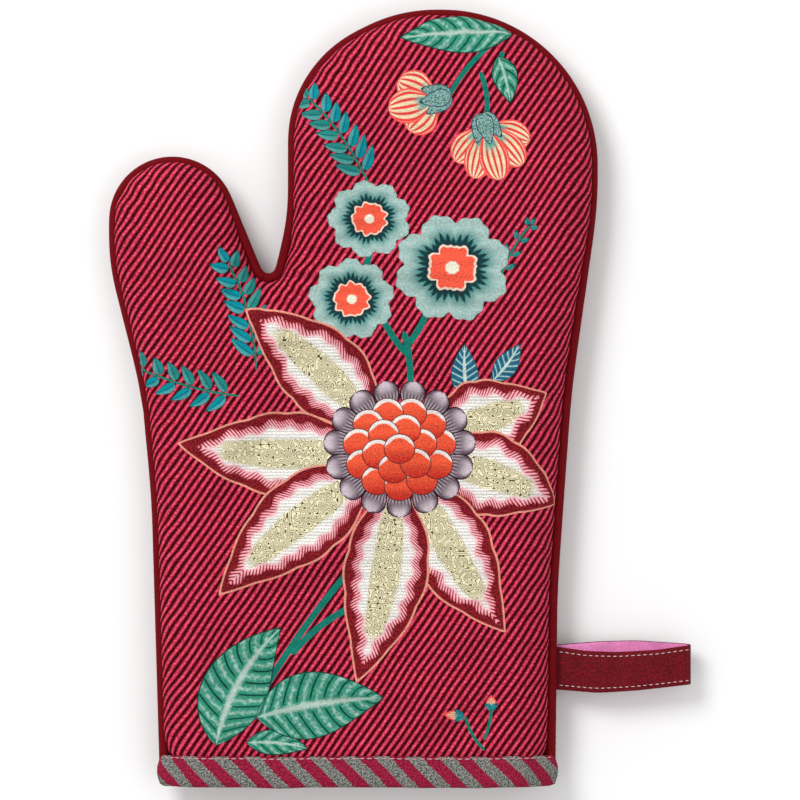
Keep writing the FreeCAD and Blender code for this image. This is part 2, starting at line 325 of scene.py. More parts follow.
def panel_outlines(spacing):
    """The closed outlines of the palm and fingers, and of the thumb, sharing the points along the fold."""
    right, left = cuff_places(EDGE_FOLD)
    stops = (right, THUMB_FROM, THUMB_TO, left)
    cut = SEAM - SEAM_INWARD * EASE[:, None]
    parts = [evenly(along_seam(cut, a, b), spacing) for a, b in zip(stops, stops[1:])]
    crossing = at_seam(SEAM, [THUMB_FROM, THUMB_TO])
    corners = [parts[0][-1], crossing[0], crossing[1], parts[2][0]]
    across = np.vstack([evenly(np.array(leg), spacing)[:-1] for leg in zip(corners, corners[1:])])
    mouth = evenly(np.array([parts[2][-1], parts[0][0]]), spacing)
    main = np.vstack([parts[0][:-1], across, parts[2][:-1], mouth[:-1]])
    thumb = np.vstack([parts[1], across[:0:-1]])
    return {"main": main, "thumb": thumb}


def grid_inside(outline, spacing):
    """A grid of points in a triangular pattern inside a closed outline, row by row."""
    a, b = outline, np.roll(outline, -1, axis=0)
    found = []
    height = spacing * math.sqrt(3) / 2
    for row, y in enumerate(np.arange(outline[:, 1].min() + height / 2, outline[:, 1].max(), height)):
        crossing = (a[:, 1] > y) != (b[:, 1] > y)
        p, q = a[crossing], b[crossing]
        xs = np.sort(p[:, 0] + (y - p[:, 1]) / (q[:, 1] - p[:, 1]) * (q[:, 0] - p[:, 0]))
        for start, stop in zip(xs[::2], xs[1::2]):
            first = math.ceil(start / spacing - row % 2 / 2)
            x = (np.arange(first, math.floor(stop / spacing - row % 2 / 2) + 1) + row % 2 / 2) * spacing
            found.append(np.stack([x, np.full(len(x), y)], axis=1))
    return np.vstack(found)


def filled(outline, spacing, shapes=()):
    """Flat triangles that fill a closed outline, with the edges of the shapes lying on it as edges.

    Gives the points, the triangles, and for each triangle the last of the shapes that it is in, or -1.
    """
    loops = [outline] + [shape.outline for shape in shapes]
    fixed = np.vstack(loops)
    tree = search_tree(fixed)
    grid = grid_inside(outline, spacing)
    clear = np.array([tree.find((x, y, 0))[2] for x, y in grid]) > 0.45 * spacing
    points = [Vector(p) for p in np.vstack([fixed, grid[clear]])]
    faces, start = [], 0
    for loop in loops:
        faces.append(list(range(start, start + len(loop))))
        start += len(loop)
    made, _, triangles, _, _, owners = delaunay_2d_cdt(points, [], faces, 0, 1e-4)
    kept = [(t, max(own) - 1) for t, own in zip(triangles, owners) if 0 in own]
    triangles = np.array([t for t, _ in kept])
    made = np.array([tuple(p) for p in made])
    used, triangles = np.unique(triangles, return_inverse=True)
    return made[used], triangles.reshape(-1, 3), np.array([top for _, top in kept])


def rim(triangles):
    """The closed line of points round a patch of triangles."""
    edges = {(int(a), int(b)) for t in triangles for a, b in zip(t, np.roll(t, -1))}
    onward = {a: b for a, b in edges if (b, a) not in edges}
    here = start = next(iter(onward))
    loop = []
    while not loop or here != start:
        loop.append(here)
        here = onward[here]
    return loop


# The front's settling: the sheet's spacing, how far in from the seam it is pinned, how many times smaller it
# is while it settles, its frames, how widely its heights are blurred, and the most they may rise or fall
SETTLING_SPACING, SETTLING_PINNED, SETTLING_SHRUNK = 3.4, 2.5, 50
SETTLING_FRAMES, SETTLING_BLUR, SETTLING_CAP = 25, 2.6, 1.8


def settled_front():
    """How far the padded front's cloth rises or sinks as it settles: a function of flat points.

    A coarse sheet with a little more cloth than its frame needs is pinned along the seam and the cuff, and
    its wadding pushes it gently outwards.
    """
    right, left = cuff_places(EDGE_FOLD)
    edge = evenly(along_seam(SEAM - SEAM_INWARD * EASE[:, None], right, left), SETTLING_SPACING)
    outline = np.vstack([edge[:-1], evenly(edge[[-1, 0]], SETTLING_SPACING)[:-1]])
    flat, triangles, _ = filled(outline, SETTLING_SPACING)
    rest = laid(flat, np.zeros(len(flat)), 1) / SETTLING_SHRUNK
    mesh = bpy.data.meshes.new("settling")
    mesh.from_pydata([tuple(p) for p in rest], [], [tuple(int(i) for i in t) for t in triangles])
    sheet = bpy.data.objects.new("settling", mesh)
    bpy.context.collection.objects.link(sheet)
    inside = from_seam(flat)[0]
    held = sheet.vertex_groups.new(name="held")
    pinned = (inside < SETTLING_PINNED) | (flat[:, 1] < CUFF_HEIGHT + 3)
    held.add([int(i) for i in np.flatnonzero(pinned)], 1.0, "REPLACE")
    cloth = sheet.modifiers.new("Cloth", "CLOTH")
    settings = cloth.settings
    settings.quality, settings.mass, settings.air_damping = 6, 0.3, 3.0
    settings.tension_stiffness = settings.compression_stiffness = 12.0
    settings.shear_stiffness, settings.bending_stiffness = 6.0, 1.5
    settings.vertex_group_mass = "held"
    settings.shrink_min = -0.03
    settings.use_pressure, settings.uniform_pressure_force = True, 0.03
    settings.effector_weights.gravity = 0.0
    cloth.collision_settings.use_collision = cloth.collision_settings.use_self_collision = False
    scene = bpy.context.scene
    for number in range(1, SETTLING_FRAMES + 1):
        scene.frame_set(number)
    settled = sheet.evaluated_get(bpy.context.evaluated_depsgraph_get()).to_mesh()
    risen = np.array([v.co.z for v in settled.vertices]) * SETTLING_SHRUNK - rest[:, 2] * SETTLING_SHRUNK
    risen -= np.median(risen) * ramp(inside, 0, 14)
    scene.frame_set(1)
    bpy.data.objects.remove(sheet)
    bpy.data.meshes.remove(mesh)
    tree = search_tree(flat)

    def relief(points):
        found = [tree.find_n((x, y, 0), 7) for x, y in points]
        rows = np.array([[index for _, index, _ in near] for near in found])
        distances = np.array([[distance for _, _, distance in near] for near in found])
        weights = np.exp(-(distances**2) / (2 * SETTLING_BLUR**2))
        height = (risen[rows] * weights).sum(1) / weights.sum(1)
        return np.clip(height, -SETTLING_CAP, SETTLING_CAP)

    return relief


# The print: a generic spray of flowers and leaves, drawn as outlines with their own inside coordinates

PETAL, SCALE, SEED, LEAF, VEINED, ROSETTE, LEAFLET, STEM, RAY, CALYX, REVERSE = range(1, 12)


class Blade:
    """A petal, leaf or stem: a bent spine with a width along it. u runs up the spine and v across it."""

    def __init__(self, kind, base, tip, half_width, bend=0.0, form="leaf", tone=0.5, waves=0.0):
        base, tip = np.array(base, float), np.array(tip, float)
        across = np.array([base[1] - tip[1], tip[0] - base[0]])
        middle = (base + tip) / 2 + across * bend
        t = np.linspace(0, 1, 41)[:, None]
        self.kind, self.tone = kind, tone
        self.spine = (1 - t) ** 2 * base + 2 * t * (1 - t) * middle + t * t * tip
        self.lengths = np.r_[0, np.cumsum(np.linalg.norm(np.diff(self.spine, axis=0), axis=1))]
        u = self.lengths / self.lengths[-1]
        if form == "leaf":
            widths = np.sin(math.pi * u**0.85) ** 0.9 * (1 + 0.25 * (0.4 - u))
        elif form == "fan":
            tip_round = np.sqrt(np.clip(1 - ((u - 0.6) / 0.4) ** 2, 0, 1))
            widths = np.where(u < 0.6, 0.25 + 0.75 * ramp(u, 0, 0.6), tip_round)
        elif form == "drop":
            widths = np.sin(math.pi * u**0.62) ** 0.8
        else:
            widths = np.clip(np.minimum(u, 1 - u) * 14, 0, 1) ** 0.5
        widths = widths * half_width * (1 + waves * np.abs(np.sin(u * math.pi * 4.5 + tone * 3)))
        self.widths = np.maximum(widths, 0.05)
        along = unit(np.gradient(self.spine, axis=0))
        self.aside = np.stack([-along[:, 1], along[:, 0]], axis=1)
        left = self.spine + self.aside * self.widths[:, None]
        right = self.spine - self.aside * self.widths[:, None]
        line = np.vstack([self.spine[:1], right[1:-1], self.spine[-1:], left[-2:0:-1]])
        self.outline = evenly(np.vstack([line, line[:1]]), 0.9)[:-1]

    def inside(self, points):
        """u, v, millimetres along and millimetres from the outline."""
        a, b = self.spine[:-1], self.spine[1:]
        step = b - a
        t = ((points[:, None] - a) * step).sum(2) / (step * step).sum(1)
        t = np.clip(t, 0, 1)
        foot = a + step * t[..., None]
        away = points[:, None] - foot
        nearest = np.argmin((away * away).sum(2), axis=1)
        rows = np.arange(len(points))
        place = nearest + t[rows, nearest]
        knots = np.arange(len(self.spine))
        width = np.interp(place, knots, self.widths)
        along = np.interp(place, knots, self.lengths)
        offset = (away[rows, nearest] * self.aside[nearest]).sum(1)
        v = np.clip(offset / width, -1, 1)
        return along / self.lengths[-1], v, along, width * (1 - np.abs(v))


class Disc:
    """A round flower or scale with a lobed edge. u runs round it and v from its middle to its edge."""

    def __init__(self, kind, centre, radius, lobes=0, depth=0.0, squeeze=1.0, tone=0.5, start=0.0):
        self.kind, self.tone = kind, tone
        self.centre = np.array(centre, float)
        self.radius, self.lobes, self.depth, self.squeeze, self.start = radius, lobes, depth, squeeze, start
        count = max(16, round(2 * math.pi * radius / 0.9))
        angle = np.arange(count) * 2 * math.pi / count
        flat = np.stack([np.cos(angle), np.sin(angle) * squeeze], axis=1)
        self.outline = self.centre + flat * self.edge(angle)[:, None]

    def edge(self, angle):
        lobe = np.abs(np.sin(angle * self.lobes / 2 + self.start))
        small = np.sin(angle * self.lobes * 3)
        return self.radius * (1 + self.depth * (lobe - 0.5) + 0.12 * self.depth * small)

    def inside(self, points):
        away = (points - self.centre) / (1, self.squeeze)
        angle = np.arctan2(away[:, 1], away[:, 0])
        reach = np.linalg.norm(away, axis=1)
        edge = self.edge(angle)
        return angle / (2 * math.pi) + 0.5, np.clip(reach / edge, 0, 1), away[:, 1], edge - reach


def spray(base, tip, pairs, length, half_width, bend=0.0, spread=0.8, tones=(0.2, 0.9)):
    """A thin bent stem with leaflets in pairs along it and one at its end."""
    stem = Blade(STEM, base, tip, 0.45, bend, "stem")
    made = [stem]
    for k in range(pairs):
        at = stem.spine[round((0.12 + 0.8 * k / max(1, pairs - 1)) * 40)]
        ahead = stem.spine[min(40, round((0.2 + 0.8 * k / max(1, pairs - 1)) * 40))] - at
        heading = math.atan2(*(ahead if np.abs(ahead).sum() > 0.01 else np.array(tip) - base)[::-1])
        reach = length * (1 - 0.35 * k / pairs)
        for side, tone in zip((-1, 1), tones):
            turned = heading + side * spread
            start = at + 1.2 * np.array([math.cos(turned), math.sin(turned)])
            end = at + reach * np.array([math.cos(turned), math.sin(turned)])
            made.append(Blade(LEAFLET, start, end, half_width, 0.08 * side, "drop", tone))
    ahead = np.array(tip, float) - stem.spine[30]
    made.append(Blade(LEAFLET, tip, tip + unit(ahead) * length * 0.6, half_width * 0.9, 0, "drop", tones[1]))
    return made


def ray_bud(calyx, heading, reaches, turns_apart, width):
    """A half-open flower: a fan of rayed petals out of a rounded calyx. Angles are in degrees."""
    made = []
    calyx = np.array(calyx, float)
    order = sorted(range(len(reaches)), key=lambda k: -abs(k - (len(reaches) - 1) / 2))
    for k in order:
        turned = math.radians(heading + (k - (len(reaches) - 1) / 2) * turns_apart)
        end = calyx + reaches[k] * np.array([math.cos(turned), math.sin(turned)])
        made.append(Blade(RAY, calyx, end, width, 0.05 * (k % 2), "fan", 0.3 + 0.1 * k))
    back = math.radians(heading + 180)
    away = np.array([math.cos(back), math.sin(back)])
    for side in (-38, 38, 0):
        turned = math.radians(heading + side)
        end = calyx + 8.5 * np.array([math.cos(turned), math.sin(turned)])
        made.append(Blade(CALYX, calyx + away * 4.5, end, 3.6, 0, "drop", 0.5 + side / 100))
    return made


def printed_shapes():
    """Everything printed over the stripes, from the undermost to the topmost."""
    middle = np.array([17.0, 135.0])
    made = []
    made += spray((-40, 166), (-52, 209), 7, 12.5, 2.2, -0.12)
    made += spray((-46, 156), (-87, 168), 6, 11.5, 2.1, 0.1)
    made += spray((5, 240), (-19, 275), 7, 12.0, 2.2, -0.08, tones=(0.85, 0.15))
    made += spray((57, 203), (69, 224), 4, 6.5, 1.1, 0.1, 0.7, (0.25, 0.35))
    for base, tip, bend in (
        ((20, 150), (18.6, 182), -0.12),
        ((20.5, 172), (8, 192), 0.1),
        ((20, 176), (30, 196), -0.12),
        ((6, 216), (3, 205), 0.0),
        ((-42, 30), (2, 92), 0.06),
        ((-26, 53), (-2, 72), 0.12),
        ((36, 146), (50, 158), 0.05),
        ((46, 154), (56, 164), 0.0),
    ):
        made.append(Blade(STEM, base, tip, 1.3, bend, "stem"))
    made += [
        Blade(VEINED, (44, 155), (43, 177), 5.6, 0.06),
        Blade(VEINED, (54, 162), (65, 177), 4.6, -0.08),
        Blade(VEINED, (47.5, 154), (71, 151), 5.6, 0.1),
        Disc(ROSETTE, (5.0, 226.5), 15.4, 9, 0.16, 0.93, 0.2),
        Disc(ROSETTE, (-2, 194.5), 15.8, 9, 0.16, 0.96, 0.6, 0.6),
        Disc(ROSETTE, (38, 207.0), 21.4, 8, 0.18, 0.93, 0.9, 0.3),
    ]
    for base, tip, bend in (
        ((62, 301), (36, 274), -0.16),
        ((49, 285), (51, 264), 0.16),
        ((58, 293), (56, 286), 0.0),
    ):
        made.append(Blade(STEM, base, tip, 1.0, bend, "stem"))
    made.append(Blade(LEAF, (62, 300), (17, 298), 8.2, -0.05))
    made.append(Blade(LEAF, (56, 291), (61, 272), 5.2, 0.08))
    made += ray_bud((33, 274.5), 192, (18, 21, 18), 34, 7.0)
    made += ray_bud((51, 264), 285, (19, 22, 23, 22, 19), 27, 6.0)
    made += [
        Blade(LEAF, (-44, 18), (-19, 15.5), 5.2, 0.1),
        Blade(LEAF, (-56, 17), (-30, 64), 13.4, 0.16),
        Blade(LEAF, (-40, 28), (11, 36), 13.6, 0.06),
        Blade(STEM, (51, 15), (43, 29), 0.6, 0.15, "stem"),
        Blade(STEM, (50.5, 19), (53.5, 32), 0.6, -0.1, "stem"),
    ]
    for tip in ((34.5, 29.5), (53.5, 37.0)):
        near = np.array(tip) + ((8, -1) if tip[0] < 40 else (0, -6))
        made.append(Blade(RAY, near, tip, 2.4, 0, "drop", 0.4))
        for side in (-2.6, 2.6):
            off = (0, side) if tip[0] < 40 else (side, 0)
            made.append(Blade(LEAFLET, near, (near + tip) / 2 + off, 1.1, 0, "drop", 0.7))
    for k in (6, 0, 5, 1, 4, 2, 3):
        turned = math.radians(138 + 40.5 * k)
        heading = np.array([math.cos(turned), math.sin(turned)])
        reach = 83 + 12 * math.sin(math.radians(27 * k)) - 24 * ramp(k, 3.2, 5)
        bend = 0.09 if k % 2 else -0.07
        made.append(
            Blade(PETAL, middle + heading * 14, middle + heading * reach, 16.5, bend, "leaf", k / 7, 0.06)
        )
    for k in range(15):
        turned = math.radians(24.0 * k + 6)
        away = np.array([math.cos(turned), 0.9 * math.sin(turned)])
        made.append(Blade(SEED, middle + away * 30.5, middle + away * 15.5, 5.2, 0.0, "drop", k / 15))
    for radius, count in ((16.5, 11), (9.0, 6), (0.0, 1)):
        for k in range(count):
            turned = 2 * math.pi * (k + 0.25) / count
            place = middle + (radius * math.cos(turned), 0.9 * radius * math.sin(turned))
            made.append(Disc(SCALE, place, 6.3, squeeze=0.95, tone=(k * 0.37) % 1))
    return made


# Meshes


def new_object(name, vertices, faces, smooth=True):
    mesh = bpy.data.meshes.new(name)
    mesh.from_pydata([tuple(v) for v in metres(vertices)], [], [tuple(int(i) for i in f) for f in faces])
    mesh.polygons.foreach_set("use_smooth", [smooth] * len(mesh.polygons))
    mesh.update()
    made = bpy.data.objects.new(name, mesh)
    bpy.context.collection.objects.link(made)
    return made


def add_layer(piece, name, values, domain="POINT"):
    layer = piece.data.attributes.new(name, "FLOAT_VECTOR", domain)
    layer.data.foreach_set("vector", np.asarray(values, np.float32).ravel())


def add_bake_map(piece, places):
    """A map to bake to: a flat place from 0 to 1 for each vertex."""
    layer = piece.data.uv_layers.new(name="OFBake")
    corners = np.zeros(len(piece.data.loops), int)
    piece.data.loops.foreach_get("vertex_index", corners)
    layer.data.foreach_set("uv", np.asarray(places, np.float32)[corners].ravel())


def sharpen(piece, pairs):
    """Marks the edges between pairs of vertices as sharp."""
    wanted = {frozenset(pair) for pair in pairs}
    marks = [frozenset(e.vertices) in wanted for e in piece.data.edges]
    layer = piece.data.attributes.new("sharp_edge", "BOOLEAN", "EDGE")
    layer.data.foreach_set("value", marks)


def layer_piece(name, outline, spacing, inner_spacing, depths, side, shapes=(), relief=None):
    """One closed layer of a panel, between two depths, in the shape of a flat outline."""
    outer, triangles, tops = filled(outline, spacing, shapes)
    loop = rim(triangles)
    inner, backs, _ = filled(outer[loop], inner_spacing)
    tree = search_tree(inner)
    back_loop = [len(outer) + tree.find((*outer[i], 0))[1] for i in loop]
    vertices = np.vstack(
        [laid(flat, np.full(len(flat), depth), side, relief) for flat, depth in zip((outer, inner), depths)]
    )
    walls = []
    for i in range(len(loop)):
        j = (i + 1) % len(loop)
        walls.append((loop[j], loop[i], back_loop[i], back_loop[j]))
    faces = [tuple(t) for t in triangles] + [tuple(t[::-1] + len(outer)) for t in backs] + walls
    if side < 0:
        faces = [f[::-1] for f in faces]
    piece = new_object(name, vertices, faces)
    edges = [(a, b) for line in (loop, back_loop) for a, b in zip(line, line[1:] + line[:1])]
    sharpen(piece, edges)
    cloth = np.vstack([outer, inner])
    inside = np.r_[np.zeros(len(outer)), np.ones(len(inner))]
    add_layer(piece, "cloth", np.c_[cloth, inside])
    low, high = cloth.min(0), cloth.max(0)
    places = (cloth - low) / (high - low).max() * 0.98 + 0.01
    small = (cloth - low) / (high - low).max() * 0.3
    room = 0.01 + 0.98 * (high - low)[0] / (high - low).max()
    if room < 0.7:
        small += (room + 0.01, 0.01)
    else:
        places, small = places * 0.74 + (0.0, 0.0), small * 0.74 + (0.76, 0.76)
    add_bake_map(piece, np.where(inside[:, None] > 0, small, places))
    if shapes:
        kinds = np.zeros((len(piece.data.loops), 3))
        sizes = np.zeros((len(piece.data.loops), 3))
        corners = np.zeros(len(piece.data.loops), int)
        piece.data.loops.foreach_get("vertex_index", corners)
        for top in np.unique(tops[tops >= 0]):
            shape = shapes[top]
            rows = (np.flatnonzero(tops == top)[:, None] * 3 + np.arange(3)).ravel()
            u, v, along, edge = shape.inside(cloth[corners[rows]])
            if isinstance(shape, Disc):
                by_face = u.reshape(-1, 3)
                wraps = by_face.max(1) - by_face.min(1) > 0.5
                by_face[wraps] = by_face[wraps] + (by_face[wraps] < 0.5)
                u = by_face.ravel()
            kinds[rows] = np.c_[np.full(len(rows), shape.kind), u, v]
            sizes[rows] = np.c_[along, edge, np.full(len(rows), shape.tone)]
        add_layer(piece, "motif", kinds, "CORNER")
        add_layer(piece, "motif_size", sizes, "CORNER")
        index = np.full(len(piece.data.polygons), REVERSE)
        index[: len(triangles)] = [shapes[top].kind if top >= 0 else 0 for top in tops]
        index[-len(walls) :] = 0
        piece.data.polygons.foreach_set("material_index", index)
    return piece


def swept(name, path, aside, section):
    """A section of (offset along aside, offset up) points carried along a path of 3D points."""
    section = np.asarray(section, float)
    if section.ndim == 2:
        section = np.repeat(section[None], len(path), axis=0)
    count = section.shape[1]
    flat = np.c_[aside, np.zeros(len(path))]
    rings = path[:, None] + flat[:, None] * section[..., :1] + np.array([0, 0, 1.0]) * section[..., 1:2]
    piece = new_object(name, rings.reshape(-1, 3), tube_faces(len(path), count))
    lengths = np.r_[0, np.cumsum(np.linalg.norm(np.diff(path, axis=0), axis=1))]
    around = np.arange(count) / count
    cloth = np.stack(np.broadcast_arrays(lengths[:, None], around[None], 0.0), axis=-1)
    add_layer(piece, "cloth", cloth.reshape(-1, 3))
    return piece


# Materials


class Number:
    """A number in a material's nodes, which can be added, multiplied and so on."""

    def __init__(self, tree, socket):
        self.tree, self.socket = tree, socket

    def apply(self, operation, *others, clamp=False):
        node = self.tree.nodes.new("ShaderNodeMath")
        node.operation, node.use_clamp = operation, clamp
        for i, value in enumerate((self, *others)):
            if isinstance(value, Number):
                self.tree.links.new(value.socket, node.inputs[i])
            else:
                node.inputs[i].default_value = value
        return Number(self.tree, node.outputs[0])

    def __add__(self, other):
        return self.apply("ADD", other)

    def __sub__(self, other):
        return self.apply("SUBTRACT", other)

    def __mul__(self, other):
        return self.apply("MULTIPLY", other)

    def __truediv__(self, other):
        return self.apply("DIVIDE", other)

    def sin(self):
        return self.apply("SINE")

    def abs(self):
        return self.apply("ABSOLUTE")

    def fract(self):
        return self.apply("FRACT")

    def below(self, limit):
        return self.apply("LESS_THAN", limit)

    def ramp(self, low, high):
        node = self.tree.nodes.new("ShaderNodeMapRange")
        node.interpolation_type = "SMOOTHSTEP"
        self.tree.links.new(self.socket, node.inputs["Value"])
        for name, value in (("From Min", low), ("From Max", high)):
            if isinstance(value, Number):
                self.tree.links.new(value.socket, node.inputs[name])
            else:
                node.inputs[name].default_value = value
        return Number(self.tree, node.outputs[0])


class Finish:
    """A material being built: its noises, its attributes and its colours."""

    def __init__(self, name, roughness=0.85, sheen=0.0, sheen_tint=(1, 1, 1)):
        self.material = bpy.data.materials.new(name)
        self.material.use_nodes = True
        self.tree = self.material.node_tree
        self.shader = self.tree.nodes["Principled BSDF"]
        self.shader.inputs["Roughness"].default_value = roughness
        self.shader.inputs["Specular IOR Level"].default_value = 0.12
        self.shader.inputs["Sheen Weight"].default_value = sheen
        self.shader.inputs["Sheen Roughness"].default_value = 0.5
        self.shader.inputs["Sheen Tint"].default_value = (*sheen_tint, 1)

    def attribute(self, name):
        node = self.tree.nodes.new("ShaderNodeAttribute")
        node.attribute_name = name
        return node.outputs["Vector"]

    def parts(self, vector):
        node = self.tree.nodes.new("ShaderNodeSeparateXYZ")
        self.tree.links.new(vector, node.inputs[0])
        return [Number(self.tree, out) for out in node.outputs]

    def vector(self, x, y, z=0.0):
        node = self.tree.nodes.new("ShaderNodeCombineXYZ")
        for i, value in enumerate((x, y, z)):
            if isinstance(value, Number):
                self.tree.links.new(value.socket, node.inputs[i])
            else:
                node.inputs[i].default_value = value
        return node.outputs[0]

    def noise(self, vector, scale, detail=2.0, rough=0.6):
        node = self.tree.nodes.new("ShaderNodeTexNoise")
        node.inputs["Scale"].default_value = scale
        node.inputs["Detail"].default_value = detail
        node.inputs["Roughness"].default_value = rough
        self.tree.links.new(vector, node.inputs["Vector"])
        return Number(self.tree, node.outputs["Fac"])

    def mix(self, amount, low, high):
        """The colour low where amount is 0, and high where it is 1."""
        node = self.tree.nodes.new("ShaderNodeMix")
        node.data_type = "RGBA"
        if isinstance(amount, Number):
            self.tree.links.new(amount.socket, node.inputs[0])
        else:
            node.inputs[0].default_value = amount
        for i, colour in ((6, low), (7, high)):
            if isinstance(colour, tuple):
                node.inputs[i].default_value = (*colour, 1)
            else:
                self.tree.links.new(colour, node.inputs[i])
        return node.outputs[2]

    def shaded(self, colour, amount):
        """A colour made lighter or darker by a number around 1."""
        node = self.tree.nodes.new("ShaderNodeVectorMath")
        node.operation = "SCALE"
        self.tree.links.new(colour, node.inputs[0])
        self.tree.links.new(amount.socket, node.inputs["Scale"])
        return node.outputs[0]

    def done(self, colour, height=None, bump=0.3, distance=0.0002, roughness=None):
        self.tree.links.new(colour, self.shader.inputs["Base Color"])
        if roughness is not None:
            self.tree.links.new(roughness.socket, self.shader.inputs["Roughness"])
        if height is not None:
            node = self.tree.nodes.new("ShaderNodeBump")
            node.inputs["Strength"].default_value = bump
            node.inputs["Distance"].default_value = distance
            self.tree.links.new(height.socket, node.inputs["Height"])
            self.tree.links.new(node.outputs[0], self.shader.inputs["Normal"])
        return self.material


RIB_ANGLE = math.radians(56)
RIB_PITCH = 2.55


def ribs(finish, x, y, grain):
    """The striped ground: pink ribs with crimson flanks and dark red lines, with the weave in both. The pink
    middle of each rib is partly a painted highlight on its raised crest, and its crimson flanks are partly
    painted shade.
    """
    wobble = finish.noise(finish.vector(x, y), 0.035, 0) * 0.5
    across = (y * math.cos(RIB_ANGLE) - x * math.sin(RIB_ANGLE)) / RIB_PITCH + wobble
    along = x * math.cos(RIB_ANGLE) + y * math.sin(RIB_ANGLE)
    ragged = finish.noise(finish.vector(x, y, 3.0), 3.2, 1) - 0.5
    middle = ((across + ragged * 0.22).fract() - 0.5).abs()
    rib = middle.ramp(0.33, 0.22)
    # Painted highlight: the middle of each raised rib is made pink, as if light caught its crest.
    crest_highlight = middle.ramp(0.25, 0.1)
    strand = (along * (2 * math.pi / 0.9) + across * 4.4).sin() * 0.5 + 0.5
    # Painted shade: the crimson that the rib's flanks fall to beside its lit middle.
    crimson = finish.mix(grain.ramp(0.3, 0.7), (0.33, 0.006, 0.02), (0.48, 0.014, 0.045))
    pink = finish.mix(grain.ramp(0.34, 0.68), (0.5, 0.022, 0.06), (0.84, 0.13, 0.21))
    pink = finish.mix(crest_highlight * (strand * 0.4 + 0.6), crimson, pink)
    dark = finish.mix(grain.ramp(0.35, 0.75), (0.016, 0.0006, 0.003), (0.12, 0.003, 0.012))
    return finish.mix(rib, dark, pink), rib


class Printed(Finish):
    """One kind of thing on the print: its place on the cloth and in its own outline, and its grain."""

    def __init__(self, name):
        super().__init__("print_" + name, 0.9)
        self.shader.inputs["Specular IOR Level"].default_value = 0.05
        self.cloth = self.attribute("cloth")
        self.x, self.y, _ = self.parts(self.cloth)
        self.grain = self.noise(self.cloth, 1.1, 2)
        self.fine = self.noise(self.cloth, 2.1, 1)
        if name not in ("ground", "reverse"):
            _, self.u, self.v = self.parts(self.attribute("motif"))
            self.along, self.edge, self.tone = self.parts(self.attribute("motif_size"))
            self.across = self.v.abs()

    def woven(self, colour, rib=None):
        """The finished canvas: the colour broken up by the weave, the slubs and a slow unevenness."""
        slow = self.noise(self.cloth, 0.05, 2)
        weave = (self.x * (2 * math.pi / 0.84)).sin() * (self.y * (2 * math.pi / 0.84)).sin()
        slub = (self.y / 0.86 + self.noise(self.vector(self.x * 0.05, self.y), 1.1, 1) * 1.4).sin()
        worn = weave * 0.1 + slub * 0.06 + self.fine.ramp(0.34, 0.66) * 0.5 + slow * 0.2 + 0.6
        colour = self.shaded(colour, worn)
        height = weave * 0.3 + self.fine * 0.7 + slub * 0.2
        if rib is not None:
            height = height + rib * 0.75
        return self.done(colour, height, 0.55, 0.00022)


def ground_print(f):
    colour, rib = ribs(f, f.x, f.y, f.grain)
    return f.woven(colour, rib)


def petal_print(f):
    """Gold squiggles on cream, a pink hatched border, a wavy wine band and a coral rim."""
    wave = (f.along * 0.75 + f.tone * 9.0).sin() * 0.8 + (f.along * 0.31 + f.tone * 5.0).sin() * 0.7
    stroke = (((f.along + f.edge * 0.8) / 1.25).fract() - 0.5).abs().ramp(0.12, 0.34)
    wine = f.mix((f.grain + f.fine * 0.5).ramp(0.45, 1.05), (0.05, 0.003, 0.006), (0.3, 0.016, 0.024))
    hatch = f.mix(stroke, (0.36, 0.02, 0.035), (0.78, 0.24, 0.28))
    wefts = ((f.y / 1.25).fract() - 0.5).abs().ramp(0.1, 0.4)
    cream = f.mix(wefts * 0.7 + f.fine * 0.4, (0.5, 0.5, 0.46), (0.9, 0.87, 0.82))
    swirl = f.noise(f.vector(f.x, f.y), 0.3, 0, 0.4)
    line = ((swirl * 11.0).fract() - 0.5).abs().ramp(0.09, 0.24)
    gold = f.mix(line, (0.07, 0.05, 0.015), (0.76, 0.7, 0.46))
    centre = (f.across + f.fine * 0.12).ramp(0.46, 0.36) * f.u.ramp(0.06, 0.14)
    cream = f.mix(centre * (f.u + f.grain * 0.06).ramp(0.84, 0.76), cream, gold)
    reach = f.edge - wave * 0.9 + f.fine * 0.8
    pale = f.mix(reach.ramp(6.6, 8.6), (0.78, 0.42, 0.46), cream)
    colour = f.mix((reach + stroke * 2.0).ramp(6.4, 7.4), hatch, pale)
    colour = f.mix((reach + stroke * 0.9).ramp(4.7, 5.4), wine, colour)
    rim = f.mix(f.grain, (0.62, 0.13, 0.09), (0.74, 0.42, 0.3))
    return f.woven(f.mix((f.edge + f.grain * 0.3).ramp(0.85, 1.15), rim, colour))


def scale_print(f):
    """An orange scale with a white upper rim and a dark outline."""
    glow = f.along.ramp(-5.5, 1.5) * 0.7 + (f.grain - 0.5) * 1.4 + 0.1
    red = f.mix(glow, (0.45, 0.02, 0.015), (0.82, 0.11, 0.045))
    top = (f.along + f.edge * -1.2 + f.grain * 1.4).ramp(0.6, 1.8) * f.edge.ramp(2.1, 1.4)
    red = f.mix(top, red, (0.74, 0.68, 0.64))
    return f.woven(f.mix((f.edge + f.fine * 0.2).ramp(0.3, 0.55), (0.05, 0.015, 0.02), red))


def seed_print(f):
    """A grey-purple seed, pale at its round end and streaked towards its tip."""
    stripe = ((f.v * 3.6).fract() - 0.5).abs().ramp(0.12, 0.3) * (f.u + f.grain * 0.25).ramp(0.42, 0.62)
    hull = f.mix((f.u + f.fine * 0.2).ramp(0.62, 0.2), (0.06, 0.035, 0.05), (0.56, 0.47, 0.52))
    hull = f.mix((f.across + f.grain * 0.3).ramp(0.5, 1.05), hull, (0.1, 0.06, 0.08))
    hull = f.mix(stripe * 0.75, hull, (0.4, 0.33, 0.37))
    return f.woven(f.mix(f.edge.ramp(0.35, 0.7), (0.012, 0.006, 0.01), hull))


